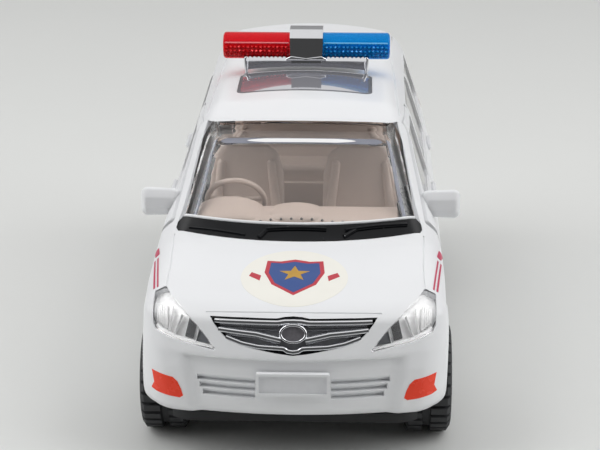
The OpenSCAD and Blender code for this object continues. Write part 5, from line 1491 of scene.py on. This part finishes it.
rim_path = [on_rim(turn, steering_radius) for turn in np.arange(64) * 2 * math.pi / 64]
wheel = sweep(rim_path, wheel_axis, disc(steering_thickness, 12), closed=True)
hub = hull(ball(wheel_centre, (1.7, 0.8, 0.9)), ball(wheel_centre - wheel_up * 1.4, (1.0, 0.6, 0.6)))
column = hull(*[ball(wheel_centre - wheel_axis * reach, 0.7) for reach in (0.5, 3.6)])
spokes = [hull(ball(wheel_centre, (0.5, 0.4, 0.5)), ball(on_rim(turn, steering_radius - 0.2), 0.4))
          for turn in spoke_turns]
boolean(wheel, "UNION", hub, column, *spokes)
piece(wheel, "steering_wheel_rim", beige_abs, nodes=["steering_wheel"], slot="interior_beige")

# %% [markdown]
# ## Wheels
#
# Soft black tyres with two rows of tread blocks on a groove, over silver rims with six spokes. Blocks,
# spokes and nuts are set round the axle by the node tree.

# %% Tyres and rims
tyre_base = [(-2.9, 6.2), (-3.5, 6.8), (-3.5, 7.9), (-3.3, 8.4), (-2.9, 8.6), (-0.6, 8.6), (-0.5, 8.35),
             (0.5, 8.35), (0.6, 8.6), (2.9, 8.6), (3.3, 8.4), (3.5, 7.9), (3.5, 6.8), (2.9, 6.2)]
half_track, outer_swell = 21.6, 1.18
tread_count, tread_radius, spoke_count, spoke_radius, nut_circle = 30, 8.9, 6, 3.5, 1.15
block_ends = [(8.3, 0.72, 0.55, 3.42), (9.16, 0.62, 0.65, 2.9)]
spoke_ends = [(1.0, 0.85, 0.9, 2.5), (5.6, 0.6, 0.9, 1.9)]
nut_radius, nut_reach = 0.28, (2.0, 2.75)


def tapered(ends, middle):
    """A block between two ends, each a radius, a half width and two places along the axle."""
    return hull(np.array([(radius - middle, side * half, x) for radius, half, low, high in ends
                          for side in both for x in (low, high)]))


block = tapered(block_ends, tread_radius)
spoke = tapered(spoke_ends, spoke_radius)
nut = prism("upright", disc(nut_radius, 6), *nut_reach)
tread = repeated(ring_tree, Object=block, Material=tyre_rubber, Count=tread_count, Radius=tread_radius)
other_tread = clone(tread, mirror=True)
other_tread.data.transform(Matrix.Rotation(math.pi / tread_count, 4, "X"))
tyre = together(spun(tyre_base), tread, other_tread)
# The outer half of the tyre is a little wider than the inner one
for vertex in tyre.data.vertices:
    vertex.co.x *= outer_swell if vertex.co.x > 0 else 1
barrel = spun([(-3.0, 5.3), (-3.0, 6.2), (3.0, 6.2), (3.1, 5.95), (2.75, 5.6), (1.3, 5.35)])
back_plate = spun([(0.3, least_radius), (0.3, 5.6), (1.0, 5.6), (1.0, least_radius)])
hub_cap = spun([(0.5, least_radius), (0.5, 1.7), (2.5, 1.6), (2.85, 1.2), (2.95, least_radius)], 48)
rim_spokes = repeated(ring_tree, Object=spoke, Material=rim_paint, Count=spoke_count,
                      Radius=spoke_radius)
rim_nuts = repeated(ring_tree, Object=nut, Material=steel, Count=spoke_count, Radius=nut_circle)
rim = together(barrel, hub_cap, rim_spokes)
for end, axle_y in (("front", front_axle_y), ("rear", rear_axle_y)):
    tyre_node, rim_node = "tyre_" + end + "_{}", "rim_" + end + "_{}"
    for source, name, material, node, slot in (
            (tyre, tyre_node + "_tread", tyre_rubber, tyre_node, "tyre_rubber"),
            (rim, rim_node + "_casting", rim_paint, rim_node, "rim_silver"),
            (back_plate, rim_node + "_back", motor_abs, None, None),
            (rim_nuts, rim_node + "_nuts", steel, None, None)):
        part = shifted(clone(source), half_track, axle_y, wheel_radius)
        part.data.materials.clear()
        both_sides(part, name, material, end + "_wheels", node, slot)

# %% [markdown]
# ## Painted marks
#
# Spray-painted indicators and printed bars on the wings. A maker lays them on through a mask or with a
# pad. Each is a thin layer of the skin, cut to its outline, as paint is.

# %% Indicators and wing bars
indicator = [(22.85, 15.95), (20.6, 15.65), (19.3, 15.5), (18.5, 14.8), (17.95, 13.6), (17.65, 12.55),
             (18.2, 12.15), (19.7, 12.2), (22.1, 12.45), (23.0, 12.75), (22.5, 13.9)]
paint_stand, paint_depth, wing_floor, wing_ceiling = 0.05, 0.12, 15, 40
indicator_paint = slab(-paint_stand, paint_depth, nose_prism(indicator, past_nose, -50))
piece(pair(indicator_paint), "indicators", orange_paint)
wing_bars = [[(22.3, -49.6), (22.55, -49.7), (23.6, -38.7), (23.4, -38.4)],
             [(22.85, -49.7), (23.15, -49.8), (24.1, -38.9), (23.9, -38.7)]]
wing_blob = rounded([(23.75, -36.9), (24.1, -34.3)], 0.36)
wing_marks = [slab(-paint_stand, paint_depth, prism("upright", outline, wing_floor, wing_ceiling))
              for outline in wing_bars + [wing_blob]]
piece(pair(together(*wing_marks)), "wing_bars", crimson_print)

# %% [markdown]
# ## Bonnet sticker
#
# A round vinyl sticker with a plain shield and star. On the toy it is one printed sheet. Here each ink is
# a layer that stands a little higher than the one below it, so that no two faces share one place.

# %% Sticker in layers
sticker_centre, sticker_radius = np.array([-0.2, -48.95]), 8.7
sticker_floor, sticker_ceiling, shield_share = 20, 40, 0.86


def sticker_layer(outline, lift, name, material):
    """A layer of the sticker from an outline round the sticker's centre."""
    placed = [tuple(sticker_centre + np.asarray(p)) for p in outline]
    layer = slab(-lift, paint_depth, prism("upright", placed, sticker_floor, sticker_ceiling))
    piece(layer, name, material)


def star(points, outer, inner, centre):
    """The outline of a star with one point up."""
    turns = math.pi / 2 + np.arange(2 * points) * math.pi / points
    reach = np.where(np.arange(2 * points) % 2 == 0, outer, inner)
    return np.stack([np.cos(turns) * reach, np.sin(turns) * reach], 1) + np.asarray(centre)


shield = whole([(0, 5.6), (2.4, 4.9), (4.6, 5.2), (4.9, 1.2), (3.6, -2.6), (0, -5.9)])
sticker_layer(disc(sticker_radius, 96), 0.03, "bonnet_sticker", vinyl_white)
sticker_layer(shield, 0.05, "sticker_shield_edge", vinyl_red)
sticker_layer(np.array(shield) * shield_share, 0.07, "sticker_shield", vinyl_blue)
sticker_layer(star(5, 2.6, 1.05, (0, 0.8)), 0.09, "sticker_star", vinyl_gold)
sticker_bar = [(5.6, -1.4), (7.4, 0.2), (7.0, 1.4), (5.4, 0.2)]
for side, sign in (("right", -1), ("left", 1)):
    sticker_layer([(sign * x, y) for x, y in sticker_bar], 0.05, "sticker_bar_" + side, vinyl_red)

# %% [markdown]
# ## Light
#
# A product table: a soft light overhead, stronger ones at both sides, a wide one far behind and a faint
# fill in front, which the shiny parts don't mirror. Around it is a room that is darker towards the camera.

# %% Lamps
def softbox(name, size, place, aim, power):
    """A rectangular area lamp, in metres and watts, aimed at a point."""
    lamp = bpy.data.lights.new(name, "AREA")
    lamp.shape = "RECTANGLE"
    lamp.size, lamp.size_y = size
    lamp.energy = power
    holder = bpy.data.objects.new(name, lamp)
    holder.location = place
    holder.rotation_euler = (Vector(aim) - Vector(place)).to_track_quat("-Z", "Y").to_euler()
    scene.collection.objects.link(holder)
    return holder


softbox("overhead", (0.8, 0.82), (0.0, 0.05, 0.62), (0, 0.03, 0), 1.3)
for side, x in (("left side", 0.52), ("right side", -0.52)):
    softbox(side, (0.5, 0.7), (x, -0.1, 0.42), (0, -0.02, 0.03), 2.55)
fill = softbox("front fill", (0.5, 0.3), (0.0, -0.7, 0.4), (0, 0, 0.02), 0.1)
fill.visible_glossy = False
softbox("back", (1.4, 0.5), (0.0, 1.3, 0.75), (0, 0, 0.05), 1.4)
print("lamps:", ", ".join(lamp.name for lamp in bpy.data.lights))

# %% Room
world = bpy.data.worlds.new("studio")
scene.world = world
world.use_nodes = True
sky = world.node_tree
sky.nodes.clear()
way = add(sky, "ShaderNodeTexCoord")
heading = add(sky, "ShaderNodeSeparateXYZ", {"Vector": way.outputs["Generated"]})
room_front, room_back = 0.08, 0.42
room = add(sky, "ShaderNodeMapRange", {
    "Value": heading.outputs["Y"], "From Min": -0.9, "From Max": 0.3, "To Min": room_front,
    "To Max": room_back})
glow = add(sky, "ShaderNodeBackground", {"Strength": room.outputs["Result"]})
add(sky, "ShaderNodeOutputWorld", {"Surface": glow.outputs["Background"]})
print("room: glow from %.2f in front to %.2f behind" % (room_front, room_back))

# %% [markdown]
# ## Floor
#
# A pale sheet of paper that runs out of the picture and keeps the toy's shadow. Plated trim in a real
# shot mirrors the dim room in front of the table, not more paper, so the near part is darker in mirrors.

# %% Paper floor
# Table paper: matt and pale, with hardly any grain
paper = surface("pale paper", "DADBD9", 40.0, 0.01, (0.75, 0.85))
near_start, near_full, near_code = -0.07, -0.1, "4A4B4D"
tree = paper.node_tree
shader = tree.nodes["Principled BSDF"]
place = add(tree, "ShaderNodeTexCoord")
ahead = add(tree, "ShaderNodeSeparateXYZ", {"Vector": place.outputs["Object"]})
front = add(tree, "ShaderNodeMapRange", {
    "Value": ahead.outputs["Y"], "From Min": near_start, "From Max": near_full})
path = add(tree, "ShaderNodeLightPath")
dim = add(tree, "ShaderNodeMath", {0: front.outputs["Result"], 1: path.outputs["Is Glossy Ray"]},
          operation="MULTIPLY")
shade = add(tree, "ShaderNodeMix", {
    0: dim.outputs[0], 6: shader.inputs["Base Color"].links[0].from_socket, 7: linear(near_code)},
    data_type="RGBA")
tree.links.new(shade.outputs[2], shader.inputs["Base Color"])

floor_mesh = bpy.data.meshes.new("floor")
floor_half = 4
floor_corners = [(-floor_half, -floor_half, 0), (floor_half, -floor_half, 0), (floor_half, floor_half, 0),
                 (-floor_half, floor_half, 0)]
floor_mesh.from_pydata(floor_corners, [], [(0, 1, 2, 3)])
floor_mesh.materials.append(paper)
floor = bpy.data.objects.new("floor", floor_mesh)
scene.collection.objects.link(floor)
scene.view_settings.view_transform = "Standard"
print("floor: %d m wide" % (2 * floor_half))

# %% [markdown]
# ## Finish
#
# The CAD nodes that still show get their finish, and the bench is cleared.

# %% Finish of the CAD nodes, and the bench cleared
node_materials = {
    "chassis_base": black_pp, "chassis_screws": steel, "door_sockets": white_abs, "door_pin_left": steel,
    "door_pin_right": steel, "front_axle": steel, "rear_axle": steel, "motor_case": motor_abs,
    "motor_cover": motor_abs, "axle_pinion": brass, "reduction_gear": nylon, "drum_gear": nylon,
    "mainspring": steel, "reduction_arbor": steel, "drum_arbor": steel}
for name, material in node_materials.items():
    mesh = frame["nodes"][name].data
    mesh.materials.clear()
    mesh.materials.append(material)
for thing in list(bench.objects):
    bpy.data.objects.remove(thing)
bpy.data.collections.remove(bench)
